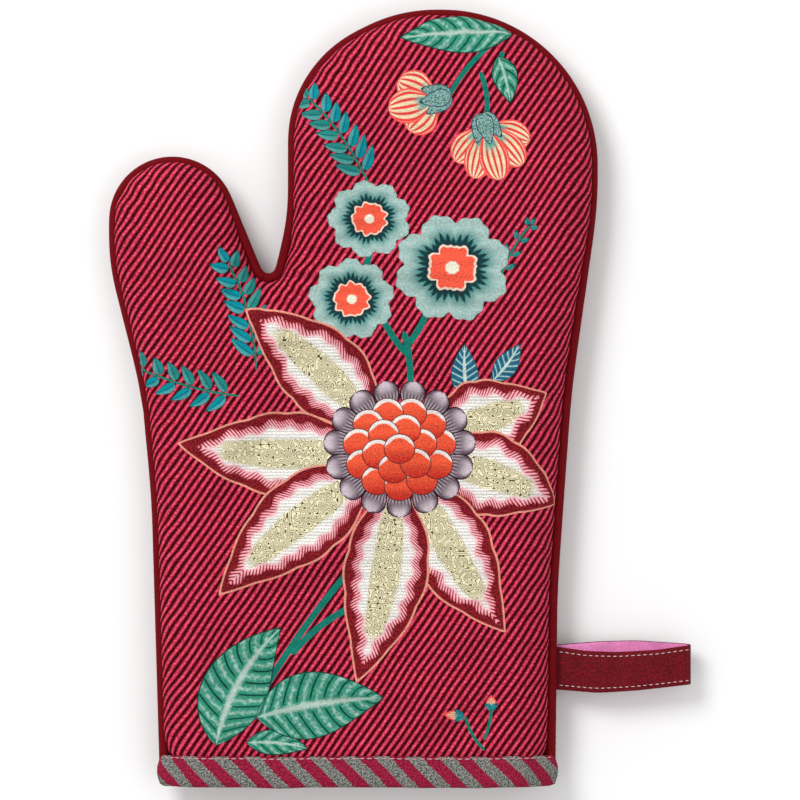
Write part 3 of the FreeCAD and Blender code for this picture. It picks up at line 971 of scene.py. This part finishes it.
def leaf_print(f):
    """A green leaf, its pale veins slanting to the tip, with dark drawn lines between some of them."""
    dark = (0.006, 0.035, 0.03)
    rows = (f.along - f.across * 3.5 - f.across * f.across * 3.0) / 5.5 + f.grain * 0.12
    vein = (rows.fract() - 0.5).abs()
    patch = f.noise(f.vector(f.x, f.y, 7.0), 0.7, 3)
    shade = (vein + patch * 1.1 + f.fine * 0.6 - 0.5).ramp(0.15, 0.65)
    green = f.mix(shade, (0.38, 0.55, 0.49), (0.025, 0.24, 0.15))
    green = f.mix((f.across * 8.0 + f.grain * 1.5).ramp(2.0, 0.9), green, (0.4, 0.52, 0.46))
    green = f.mix(vein.ramp(0.42, 0.455) * f.across.ramp(0.12, 0.25) * f.across.ramp(0.99, 0.93), green, dark)
    return f.woven(f.mix((f.edge + f.fine * 0.2).ramp(0.45, 0.7), dark, green))


def veined_print(f):
    """A small blue leaf with pale veins."""
    vein = (((f.along - f.across * 3.2) / 2.6).fract() - 0.5).abs()
    blue = f.mix((f.grain - 0.5) * 1.5 + vein * 1.6, (0.01, 0.08, 0.16), (0.05, 0.24, 0.29))
    blue = f.mix(vein.ramp(0.36, 0.45), blue, (0.4, 0.56, 0.52))
    blue = f.mix(f.across.ramp(0.16, 0.07), blue, (0.48, 0.6, 0.55))
    return f.woven(f.mix((f.edge + f.grain * 0.1).ramp(0.3, 0.5), (0.005, 0.06, 0.08), blue))


def rosette_print(f):
    """A teal flower paling to its scalloped edge, with a dark fringe round a coral middle."""
    ray = (f.u * 6.2832 * 34.0).sin() * 0.5 + 0.5
    place = f.v + (f.u * 6.2832 * 12.0 + f.tone * 6.0).sin() * 0.021
    teal = f.mix((f.v + f.grain * 0.22).ramp(0.62, 0.98), (0.015, 0.19, 0.18), (0.4, 0.54, 0.5))
    teal = f.mix(f.edge.ramp(0.5, 0.2), teal, (0.3, 0.36, 0.34))
    dark = f.mix(f.grain, (0.006, 0.016, 0.025), (0.015, 0.06, 0.06))
    bloom = f.mix((f.v - ray * 0.13 + f.fine * 0.06).ramp(0.6, 0.53), teal, dark)
    coral = f.mix(f.grain, (0.72, 0.03, 0.02), (0.92, 0.17, 0.09))
    teal_speck = f.grain.ramp(0.35, 0.65)
    bloom = f.mix(teal_speck * 0.35 * f.v.ramp(0.6, 0.7), bloom, (0.01, 0.16, 0.15))
    bloom = f.mix(place.ramp(0.46, 0.44), bloom, (0.8, 0.62, 0.5))
    bloom = f.mix(place.ramp(0.415, 0.395), bloom, coral)
    return f.woven(f.mix((f.v + f.fine * 0.05).ramp(0.17, 0.13), bloom, (0.78, 0.76, 0.6)))


def leaflet_print(f):
    leafy = f.mix(f.tone, (0.02, 0.2, 0.16), (0.0, 0.24, 0.3))
    leafy = f.mix((f.v + f.grain * 0.7).ramp(0.4, 1.0) * 0.6, leafy, (0.12, 0.34, 0.32))
    leafy = f.mix(f.across.ramp(0.16, 0.05) * 0.7, leafy, (0.005, 0.07, 0.09))
    return f.woven(f.mix(f.edge.ramp(0.12, 0.35), (0.005, 0.07, 0.08), leafy))


def stem_print(f):
    return f.woven(f.mix(f.grain, (0.0, 0.1, 0.075), (0.015, 0.24, 0.18)))


def ray_print(f):
    """A half-open petal: coral with cream rays and a green heart."""
    spoke = ((f.v * 2.6 + f.tone).fract() - 0.5).abs().ramp(0.14, 0.3)
    flame = f.mix(spoke, (0.68, 0.05, 0.05), (0.74, 0.6, 0.38))
    heart = (f.u + f.grain * 0.2).ramp(0.62, 0.45) * f.across.ramp(0.7, 0.3)
    flame = f.mix(heart, flame, (0.1, 0.33, 0.27))
    return f.woven(f.mix((f.edge + f.fine * 0.4).ramp(0.75, 1.1), (0.82, 0.09, 0.08), flame))


def calyx_print(f):
    cup = f.mix((f.grain + f.fine - 0.5).ramp(0.3, 0.8), (0.04, 0.16, 0.15), (0.34, 0.5, 0.46))
    return f.woven(f.mix(f.edge.ramp(0.25, 0.5), (0.015, 0.04, 0.07), cup))


def reverse_print(f):
    """The canvas's inner face, where the dye has only tinted it."""
    return f.woven(f.mix(f.grain, (0.4, 0.03, 0.06), (0.52, 0.06, 0.1)))


def print_materials():
    """The printed canvas, one material for each kind in the order of the kinds, and then its inner face."""
    made = []
    for draw in (
        ground_print, petal_print, scale_print, seed_print, leaf_print, veined_print,
        rosette_print, leaflet_print, stem_print, ray_print, calyx_print, reverse_print,
    ):
        made.append(draw(Printed(draw.__name__.removesuffix("_print"))))
    return made


def fibre_material(name, low, high, scale=1.0, stretch=1.0, roughness=0.9, bump=0.5, sheen=0.1):
    """Soft fibres: two tones in a fuzzy grain."""
    finish = Finish(name, roughness, sheen)
    x, y, z = finish.parts(finish.attribute("cloth"))
    vector = finish.vector(x * stretch, y, z)
    grain = finish.noise(vector, scale, 4)
    return finish.done(finish.mix(grain.ramp(0.3, 0.7), low, high), grain, bump, 0.0005)


def quilted_lining_material():
    """Plain pale cotton with a fine square weave."""
    finish = Finish("lining_cotton", 0.9)
    x, y, _ = finish.parts(finish.attribute("cloth"))
    grain = finish.noise(finish.vector(x, y), 3.0, 2)
    weave = (x * (2 * math.pi / 0.7)).sin() * (y * (2 * math.pi / 0.7)).sin()
    colour = finish.mix(grain * 0.6 + weave * 0.2 + 0.2, (0.58, 0.53, 0.45), (0.78, 0.74, 0.66))
    return finish.done(colour, weave + grain, 0.4, 0.0002)


def piping_material():
    """Dark red bias-cut cotton over a cord: a fine slanting weave."""
    finish = Finish("piping_cotton", 0.8)
    finish.shader.inputs["Specular IOR Level"].default_value = 0.1
    along, around, _ = finish.parts(finish.attribute("cloth"))
    grain = finish.noise(finish.vector(along, around * 13.0), 1.6, 3)
    slant = (along * 7.0 + around * 90.0).sin() * (along * 7.0 - around * 90.0).sin()
    colour = finish.mix(grain.ramp(0.25, 0.8), (0.1, 0.0006, 0.0025), (0.19, 0.001, 0.005))
    colour = finish.shaded(colour, slant * 0.08 + 0.98)
    return finish.done(colour, slant * 0.6 + grain, 0.35, 0.00015)


def binding_material():
    """The cuff's woven band: slanting crimson and grey stripes, mottled by two colours of thread."""
    finish = Finish("binding_stripe", 0.9)
    around, up, _ = finish.parts(finish.attribute("cloth"))
    vector = finish.vector(around, up)
    grain = finish.noise(vector, 1.0, 2)
    fine = finish.noise(vector, 2.0, 1)
    ragged = (grain - 0.5) * 0.12
    phase = ((around * 0.707 - up * 0.707) / 9.1 + ragged).fract()
    stripe = (phase - 0.5).abs().ramp(0.235, 0.265)
    mottle = (fine * 0.6 + grain * 0.4).ramp(0.38, 0.62)
    red = finish.mix(mottle, (0.12, 0.003, 0.012), (0.4, 0.016, 0.06))
    grey = finish.mix(mottle, (0.04, 0.03, 0.03), (0.3, 0.31, 0.28))
    weave = (around * (2 * math.pi / 0.8)).sin() * (up * (2 * math.pi / 0.8)).sin()
    colour = finish.mix(stripe, red, grey)
    colour = finish.shaded(colour, weave * 0.06 + grain * 0.3 + 0.8)
    return finish.done(colour, weave * 0.4 + fine, 0.5, 0.0002)


def tape_material(name, low, high, bump=0.35):
    """Ribbon tape: fine cross ribs and a narrow selvedge."""
    finish = Finish(name, 0.8)
    along, across, _ = finish.parts(finish.attribute("cloth"))
    grain = finish.noise(finish.vector(along * 1.6, across * 0.9), 1.1, 3)
    rib = (along * (2 * math.pi / 0.55)).sin()
    colour = finish.mix(grain.ramp(0.3, 0.75), low, high)
    slow = finish.noise(finish.vector(along, across), 0.13, 1)
    colour = finish.shaded(colour, rib * 0.06 + slow * 0.7 + 0.6)
    return finish.done(colour, rib * 0.5 + grain, bump, 0.00015)


def thread_material(name, low, high):
    """Twisted sewing thread."""
    finish = Finish(name, 0.55, 0.1)
    along, around, _ = finish.parts(finish.attribute("cloth"))
    twist = (along * 9.0 + around * 2 * math.pi).sin()
    colour = finish.mix(twist * 0.4 + 0.5, low, high)
    return finish.done(colour, twist, 0.5, 0.0001)


def floor_material():
    finish = Finish("floor_paper", 0.9)
    node = finish.tree.nodes.new("ShaderNodeTexCoord")
    grain = finish.noise(node.outputs["Object"], 60.0, 2)
    return finish.done(finish.mix(grain, (0.86, 0.86, 0.86), (0.88, 0.88, 0.88)))


# The pieces


def finish_piece(piece, material, replaced, body=None, bend=None, pad=None):
    """Gives a piece its material and hides the nodes it stands for. A piece given a body is hung on it; one
    given a bend only has its place baked into its mesh and follows no body or joint.
    """
    for one in material if isinstance(material, list) else [material]:
        piece.data.materials.append(one)
    if bend:
        body, other, start, end = bend
        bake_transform(piece)
    else:
        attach(piece, body)
    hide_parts(*replaced)


KNUCKLE_BEND = ("palm", "fingers", (FOLD_AT[0], KNUCKLE_Y, TOP), (FOLD_AT[0], KNUCKLE_Y + 45.0, TOP))
middle_of_fold = FOLD_AT - FOLD_ALONG * 34.0
THUMB_BEND = (
    "palm",
    "thumb",
    (*(middle_of_fold + FOLD_OUT * 3.0), TOP),
    (*(middle_of_fold + FOLD_OUT * 33.0), TOP),
)
PARTS = {"main": (KNUCKLE_BEND, ("palm", "fingers")), "thumb": (THUMB_BEND, ("thumb",))}
LABELS = {"main": "hand", "thumb": "thumb_stall"}


def tidy_normals(piece):
    """Turns every face of a closed piece outwards."""
    made = bmesh.new()
    made.from_mesh(piece.data)
    bmesh.ops.recalc_face_normals(made, faces=made.faces)
    made.to_mesh(piece.data)
    made.free()


def make_panels():
    shapes = printed_shapes()
    printed = print_materials()
    striped = [printed[0], printed[REVERSE]]
    wadding = fibre_material("wadding_fibres", (0.62, 0.6, 0.56), (0.86, 0.85, 0.82), 0.35, 0.4)
    lining = quilted_lining_material()
    relief = settled_front()
    fine, coarse = panel_outlines(0.95), panel_outlines(2.6)
    for part, (bend, bodies) in PARTS.items():
        for side, face in ((1, "front"), (-1, "back")):
            cloth_slot = "printed_canvas" if side > 0 else "striped_canvas"
            plan = (
                ("shell", (0.0, SHELL), printed if side > 0 else striped, cloth_slot),
                ("wadding", (SHELL + 0.02, PAD - 0.02), wadding, "wadding"),
                ("lining", (PAD, LINED), lining, "lining"),
            )
            for layer, depths, material, slot in plan:
                dense = layer == "shell" and side > 0
                medium = layer == "shell" and side < 0
                piece = layer_piece(
                    f"{LABELS[part]}_{face}_{layer}",
                    fine[part] if dense else coarse[part],
                    0.95 if dense else 1.6 if medium else 2.6,
                    2.6,
                    depths,
                    side,
                    shapes if dense else (),
                    relief,
                )
                names = [f"{body}_{face}_{layer}" for body in bodies]
                finish_piece(piece, material, names, bend=bend, pad=None if layer == "lining" else 0.5)


def seam_part(part, shift, step):
    """One part's seam moved inwards by shift, in runs of flat points with their inward directions."""
    right, left = cuff_places(1.0)
    runs = {"main": ((right, THUMB_FROM), (THUMB_TO, left)), "thumb": ((THUMB_FROM, THUMB_TO),)}[part]
    amount = -PIPE_OUT if shift is None else np.full(len(SEAM), shift)
    line = SEAM + SEAM_INWARD * amount[:, None]
    found = []
    for first, last in runs:
        rows = evenly(np.c_[along_seam(line, first, last), along_seam(SEAM_INWARD, first, last)], step)
        found.append((rows[:, :2], unit(rows[:, 2:])))
    return found


def circle(radius, count, start=0.0):
    angle = start + np.arange(count) * 2 * math.pi / count
    return radius * np.stack([np.cos(angle), np.sin(angle)], axis=1)


def join(pieces, name):
    """One object out of several, keeping their attributes."""
    if len(pieces) > 1:
        with bpy.context.temp_override(active_object=pieces[0], selected_editable_objects=pieces):
            bpy.ops.object.join()
    pieces[0].name = pieces[0].data.name = name
    return pieces[0]


def make_piping():
    cover = piping_material()
    cord = fibre_material("cord_cotton", (0.55, 0.5, 0.42), (0.75, 0.71, 0.63), 1.5)
    thread = thread_material("seam_thread_red", (0.16, 0.004, 0.01), (0.42, 0.02, 0.04))
    opening = math.radians(14)
    angle = np.linspace(opening, 2 * math.pi - opening, 30)
    skin = PIPE_RADIUS * np.stack([np.cos(angle), np.sin(angle)], axis=1)
    allowance = PIPE_RADIUS + THREAD_INSET + PAD - 4
    tongue = [(5.0, -0.5), (allowance, -0.5), (allowance, 0.5), (5.0, 0.5)]
    profile = np.vstack([skin, tongue])
    round_cord = np.arange(18) * math.pi / 9

    def finished(layer, part, runs, material):
        """One seam piece out of its runs of (path, inward, section)."""
        bend, bodies = PARTS[part]
        made = [swept(f"{LABELS[part]}_{layer}_{k}", *run) for k, run in enumerate(runs)]
        piece = join(made, f"{LABELS[part]}_{layer}")
        tidy_normals(piece)
        finish_piece(piece, material, [f"{b}_{layer}" for b in bodies], bend=bend)

    for part in PARTS:
        runs = []
        for line, inward in seam_part(part, None, 1.1):
            runs.append((np.c_[line, np.full(len(line), SEAM_Z)], inward, profile))
        finished("piping_cover", part, runs, cover)
        runs = []
        for line, inward in seam_part(part, None, 1.0):
            twist = np.arange(len(line)) * 0.45
            lobes = CORD_RADIUS * (0.9 + 0.08 * np.cos(3 * (round_cord - twist[:, None])))
            strands = circle(1, len(round_cord)) * lobes[:, :, None]
            runs.append((np.c_[line, np.full(len(line), SEAM_Z)], inward, strands))
        finished("piping_cord", part, runs, cord)
        runs = []
        for line, inward in seam_part(part, THREAD_INSET, 0.7):
            wave = 0.12 * np.sin(np.arange(len(line)) * 1.5)
            runs.append((np.c_[line, SEAM_Z + wave], inward, circle(0.28, 8)))
        finished("seam_thread", part, runs, thread)


def cuff_section(depth, piping):
    """The closed line round the mouth, seen along y, at a depth below the panels' outer face."""
    angle = np.linspace(0, math.pi / 2, 24)
    rise = np.stack([EDGE_REACH * (1 - np.cos(angle)), FLANGE + HEIGHT * np.sin(angle)], axis=1)
    right, left = (SEAM[round(place)] for place in cuff_places(CUFF_HEIGHT / 2))
    found = []
    for x, out in ((right[0], 1), (left[0], -1)):
        for up in (1, -1):
            found += [(x - out * r, SEAM_Z + up * z) for r, z in rise]
        if piping:
            centre = np.array([x + out * PIPE_RADIUS, SEAM_Z])
            found += [tuple(centre + p) for p in circle(PIPE_RADIUS, 24)]
    found = np.array(found)
    hull = found[convex_hull_2d([Vector(p) for p in found])]
    loop = evenly(np.vstack([hull, hull[:1]]), 1.0)[:-1]
    longer = smoothed(np.vstack([loop[-12:], loop, loop[:12]]), 1.5)
    loop = evenly(np.vstack([longer[12:-12], longer[12:13]]), 1.0)[:-1]
    along = unit(np.roll(loop, -1, axis=0) - np.roll(loop, 1, axis=0))
    area = (loop[:, 0] * np.roll(loop[:, 1], -1) - loop[:, 1] * np.roll(loop[:, 0], -1)).sum()
    outward = np.stack([along[:, 1], -along[:, 0]], axis=1) * np.sign(area)
    return loop - outward * depth, outward


def make_binding():
    """The band folded over the mouth's edges, outside and inside, and the row of stitches that holds it."""
    outer, outward = cuff_section(0.0, True)
    inner, inward = cuff_section(LINED, False)
    top = CUFF_HEIGHT
    count = len(outer)
    lengths = np.arange(count) * 1.0
    nearest = search_tree(inner)
    match = np.array([nearest.find((x, z, 0))[1] for x, z in outer])
    inside, inside_out = smoothed(np.vstack([inner[match]] * 3), 3)[count : 2 * count], inward[match]
    rows = []
    stitch_dip = 0.16 * (1 + np.cos(lengths * 2 * math.pi / 3.1)) / 2
    corner = ramp(np.abs(outer[:, 0]), CUFF_HALF - 16, CUFF_HALF)
    wave = 0.35 * np.sin(lengths / 11.0) + 0.2 * np.sin(lengths / 4.3 + 1)

    def row(base, out, offset, y, v):
        flat = base + out * np.asarray(offset).reshape(-1, 1)
        flat[:, 1] = np.maximum(flat[:, 1], 0.0)
        rows.append((np.stack([flat[:, 0], np.broadcast_to(y, count), flat[:, 1]], axis=1), v))

    ripple = 0.18 * np.sin(lengths / 5.0) + 0.12 * np.sin(lengths / 2.1)
    over_the_edge = (
        (top - 0.1, -0.75),
        (top, -0.3),
        (top - 0.15, -0.05),
        (top - 0.8, 0.02 - stitch_dip),
        (top - 2.2, 0.1 + ripple),
        (8.0, 0.2 + ripple),
        (5.5, 0.22 + ripple),
        (3.2, 0.15 + ripple),
        (1.4, -0.15),
        (0.5, -0.8),
        (0.12, -1.8),
    )
    for y, lift in over_the_edge:
        puffed = 1.5 * ramp(corner, 0.2, 1) * math.sin(min(1, max(0, y / top)) * math.pi)
        shift = np.minimum(wave * 0.8, 0.0) if y < 2 else wave * (0.3 if y > 9 else 0.8)
        row(outer, outward, np.minimum(lift + puffed, 1.6), y + shift, y)
    for share in (0.25, 0.5, 0.75):
        base = outer - outward * 1.8
        base = base + (inside - base) * share
        row(base, outward, 0, 0.05 + np.minimum(wave * 0.6, 0.0), -share * 6)
    up_inside = (
        (0.12, 0.1),
        (0.5, -0.5),
        (1.6, -0.85),
        (6.0, -0.9),
        (top - 0.6, -0.85),
        (top, -0.5),
        (top, -0.05),
    )
    for y, drop in up_inside:
        row(inside, inside_out, drop, y, -8 - y)
    for y, drop in ((6.0, 0.05), (2.0, 0.05)):
        row(inside, inside_out, drop, y, -22 - (top - y))
    for share in (0.25, 0.5, 0.75):
        base = inside + (outer - outward * 1.8 - inside) * share
        row(base, outward, 0, 1.1, -36 - share * 6)
    for y, lift in ((1.6, -1.7), (3.0, -0.95), (7.0, -0.9)):
        row(outer, outward, lift, y, -46 - y)
    points = np.vstack([r for r, _ in rows])
    piece = new_object("cuff_band", points, tube_faces(len(rows), count, closed=True))
    cloth = np.vstack([np.c_[lengths, np.full(count, v), np.zeros(count)] for _, v in rows])
    add_layer(piece, "cloth", cloth)
    tidy_normals(piece)
    finish_piece(piece, binding_material(), ["cuff_binding"], body="palm")

    thread = thread_material("cuff_thread", (0.42, 0.16, 0.17), (0.72, 0.5, 0.48))
    made = []
    legs = np.linspace(0, 1, 7)
    for a in range(0, count, 3):
        b = (a + 2) % count
        base = outer[a] + (outer[b] - outer[a]) * legs[:, None]
        lift = 0.28 * np.sin(legs * math.pi) - 0.02
        flat = base + outward[a] * lift[:, None]
        flat[:, 1] = np.maximum(flat[:, 1], 0.25)
        y = top - 0.85 + 0.3 * wave[a]
        path = np.c_[flat[:, 0], np.full(len(legs), y), flat[:, 1]]
        made.append((path, np.array([outward[a][0], 0, outward[a][1]])))
    stitches_piece("cuff_stitches", made, 0.24, thread, "cuff_stitching", body="palm")


def stitches_piece(name, stitches, radius, material, node, body=None, bend=None):
    """Short arched stitches of thread: each a thin rod along its own path, tapering at both ends."""
    vertices, faces, cloth = [], [], []
    ring = 6
    for path, up in stitches:
        along = unit(np.gradient(path, axis=0))
        side = unit(np.cross(along, up))
        lift = np.cross(side, along)
        first = len(vertices)
        for i, centre in enumerate(path):
            share = i / (len(path) - 1)
            size = radius * (0.55 + 0.45 * math.sin(share * math.pi) ** 0.5)
            for k in range(ring):
                angle = k * 2 * math.pi / ring
                vertices.append(centre + size * (side[i] * math.cos(angle) + lift[i] * math.sin(angle)))
                cloth.append((share * 2.2, k / ring, 0))
        faces += tube_faces(len(path), ring, first=first)
    piece = new_object(name, np.array(vertices), faces)
    add_layer(piece, "cloth", cloth)
    tidy_normals(piece)
    finish_piece(piece, material, [node], body=body, bend=bend)


def loop_path():
    """The hanging loop's middle line, seen along y: out of the seam, round the far fold and back."""
    low, high = node_box("loop_tape")
    root, end = low[0] - 0.6, high[0] - 0.4
    z = (low[2] + high[2]) / 2
    half = (high[2] - low[2]) / 2 - 0.65
    inner = node_box("loop_tail")[0][0]
    run = end - root
    top = [(inner, z + 0.66), (root - 1, z + 0.66), (root + 4, z + 1.0), (root + 14, z + half - 0.5)]
    top += [(root + run * 0.45, z + half), (root + run * 0.8, z + half), (end - 3.0, z + half - 0.2)]
    top += [(end - 0.9, z + half - 1.0), (end, z + 0.9), (end, z)]
    line = np.array(top + [(x, 2 * z - h) for x, h in top[-2::-1]])
    line = smoothed(evenly(line, 0.5), 2)
    return evenly(line, 0.8), root, end


def make_loop():
    path, root, end = loop_path()
    low, high = node_box("loop_tape")
    count = len(path)
    along = unit(np.gradient(path, axis=0))
    out = np.stack([-along[:, 1], along[:, 0]], axis=1)
    share = np.clip((path[:, 0] - root) / (end - root), 0, 1)
    upper = np.arange(count) < count / 2
    sag = np.sin(share * math.pi) ** 0.8
    front_top = np.interp(share, (0, 0.2, 0.45, 0.75, 1), (55.6, 54.0, 53.6, 54.5, 56.4))
    back_top = np.interp(share, (0, 0.3, 0.6, 1), (56.4, 57.6, 58.0, 56.6))
    front_foot = np.interp(share, (0, 0.3, 0.6, 1), (38.4, 37.2, 38.2, 40.6))
    back_foot = np.interp(share, (0, 0.6, 1), (39.4, 39.8, 40.6))
    top_edge = smoothed(np.where(upper, front_top, back_top)[:, None], 2.5)[:, 0]
    foot_edge = smoothed(np.where(upper, front_foot, back_foot)[:, None], 2.5)[:, 0]
    waist = 0.25 * np.sin(path[:, 0] / 3.1) * (share > 0) * (share < 1)
    across = np.array([0.0, 0.02, 0.12, 0.3, 0.5, 0.7, 0.88, 0.98, 1.0])
    bow = 0.35 * np.sin(across * math.pi)

    def band(name, near, far, inset):
        """A strip between two distances from the middle line, rounded at its two long edges."""
        rows = []
        for i in range(count):
            lo, hi = foot_edge[i] + inset, top_edge[i] - inset
            y = lo + (hi - lo) * across
            edge = np.minimum(across, 1 - across) < 0.01
            mid = (near + far) / 2
            bowed = bow * sag[i] * (1 if upper[i] else 0.4)
            outer = np.where(edge, mid + (far - mid) * 0.45, far) + bowed
            inner = np.where(edge, mid + (near - mid) * 0.45, near) + bowed
            ring = []
            for yy, offset in list(zip(y, outer)) + list(zip(y[::-1], inner[::-1])):
                flat = path[i] + out[i] * (offset + waist[i] * 0.3)
                ring.append((flat[0], yy, flat[1]))
            rows.append(ring)
        rings = np.array(rows)
        size = rings.shape[1]
        piece = new_object(name, rings.reshape(-1, 3), tube_faces(count, size))
        lengths = np.arange(count) * 0.8
        cross = np.r_[across, across[::-1]] * 18.0
        cloth = np.stack(np.broadcast_arrays(lengths[:, None], cross[None], 0.0), axis=-1)
        add_layer(piece, "cloth", cloth.reshape(-1, 3))
        tidy_normals(piece)
        return piece

    z = (low[2] + high[2]) / 2
    bend = ("palm", "hanging_loop", (root - 0.5, 47, z), (root + 6.0, 47, z))
    burgundy = tape_material("tape_burgundy", (0.05, 0.002, 0.005), (0.25, 0.007, 0.016))
    pink = tape_material("tape_pink", (0.7, 0.19, 0.44), (0.84, 0.33, 0.6))
    tape = band("loop_band", -0.12, 0.62, 0.0)
    finish_piece(tape, burgundy, ["loop_tape", "loop_tail"], bend=bend)
    lining = band("loop_facing", -0.55, -0.14, 0.25)
    finish_piece(lining, pink, ["loop_lining"], bend=bend)

    made = []
    for i in range(count - 3):
        if i % 3 or share[i] <= 0.0 or share[i] >= 0.985:
            continue
        for edge in (0.11, 0.89):
            points = []
            for t in np.linspace(0, 1, 6):
                at = i + t * 1.75
                a, f = int(at), at - int(at)
                base = path[a] * (1 - f) + path[a + 1] * f
                lo = foot_edge[a] * (1 - f) + foot_edge[a + 1] * f
                hi = top_edge[a] * (1 - f) + top_edge[a + 1] * f
                lift = 0.62 + 0.35 * math.sin(edge * math.pi) * sag[i] * (1 if upper[i] else 0.4)
                lift += 0.2 * math.sin(t * math.pi) + waist[i] * 0.3
                flat = base + out[a] * lift
                points.append((flat[0], lo + (hi - lo) * edge, flat[1]))
            made.append((np.array(points), np.array([out[i][0], 0, out[i][1]])))
    thread = thread_material("loop_thread", (0.62, 0.42, 0.4), (0.86, 0.72, 0.68))
    stitches_piece("loop_stitches", made, 0.16, thread, "loop_stitching", bend=bend)


def make_stage():
    """A pale floor, a large soft light from the upper left, and a long lens from straight above."""
    mesh = bpy.data.meshes.new("floor")
    size = 4.0
    corners = [(-size, -size, 0), (size, -size, 0), (size, size, 0), (-size, size, 0)]
    mesh.from_pydata(corners, [], [(0, 1, 2, 3)])
    floor = bpy.data.objects.new("floor", mesh)
    floor.location.z = -0.0004
    bpy.context.collection.objects.link(floor)
    mesh.materials.append(floor_material())
    for name, place, size, power in (
        ("key", (-0.75, 0.8, 1.25), 0.8, 16.0),
        ("fill", (0.9, -0.3, 1.5), 1.6, 4.0),
    ):
        light = bpy.data.lights.new(name, "AREA")
        light.shape, light.size, light.energy = "DISK", size, power
        lamp = bpy.data.objects.new(name, light)
        lamp.location = place
        lamp.rotation_euler = (Vector((0, 0, 0)) - Vector(place)).to_track_quat("-Z", "Y").to_euler()
        bpy.context.collection.objects.link(lamp)
    world = bpy.data.worlds.new("studio")
    world.use_nodes = True
    world.node_tree.nodes["Background"].inputs["Color"].default_value = (1, 1, 1, 1)
    world.node_tree.nodes["Background"].inputs["Strength"].default_value = 0.75
    bpy.context.scene.world = world
    bpy.context.scene.view_settings.view_transform = "Standard"
    lens = bpy.data.cameras.new("camera")
    distance = 2.4
    lens.lens = (distance - 0.013) * 36.0 / 0.320
    lens.clip_end = 20
    camera = bpy.data.objects.new("camera", lens)
    camera.location = (0, -0.0009, distance)
    bpy.context.collection.objects.link(camera)
    bpy.context.scene.camera = camera


make_stage()
make_panels()
make_piping()
make_binding()
make_loop()
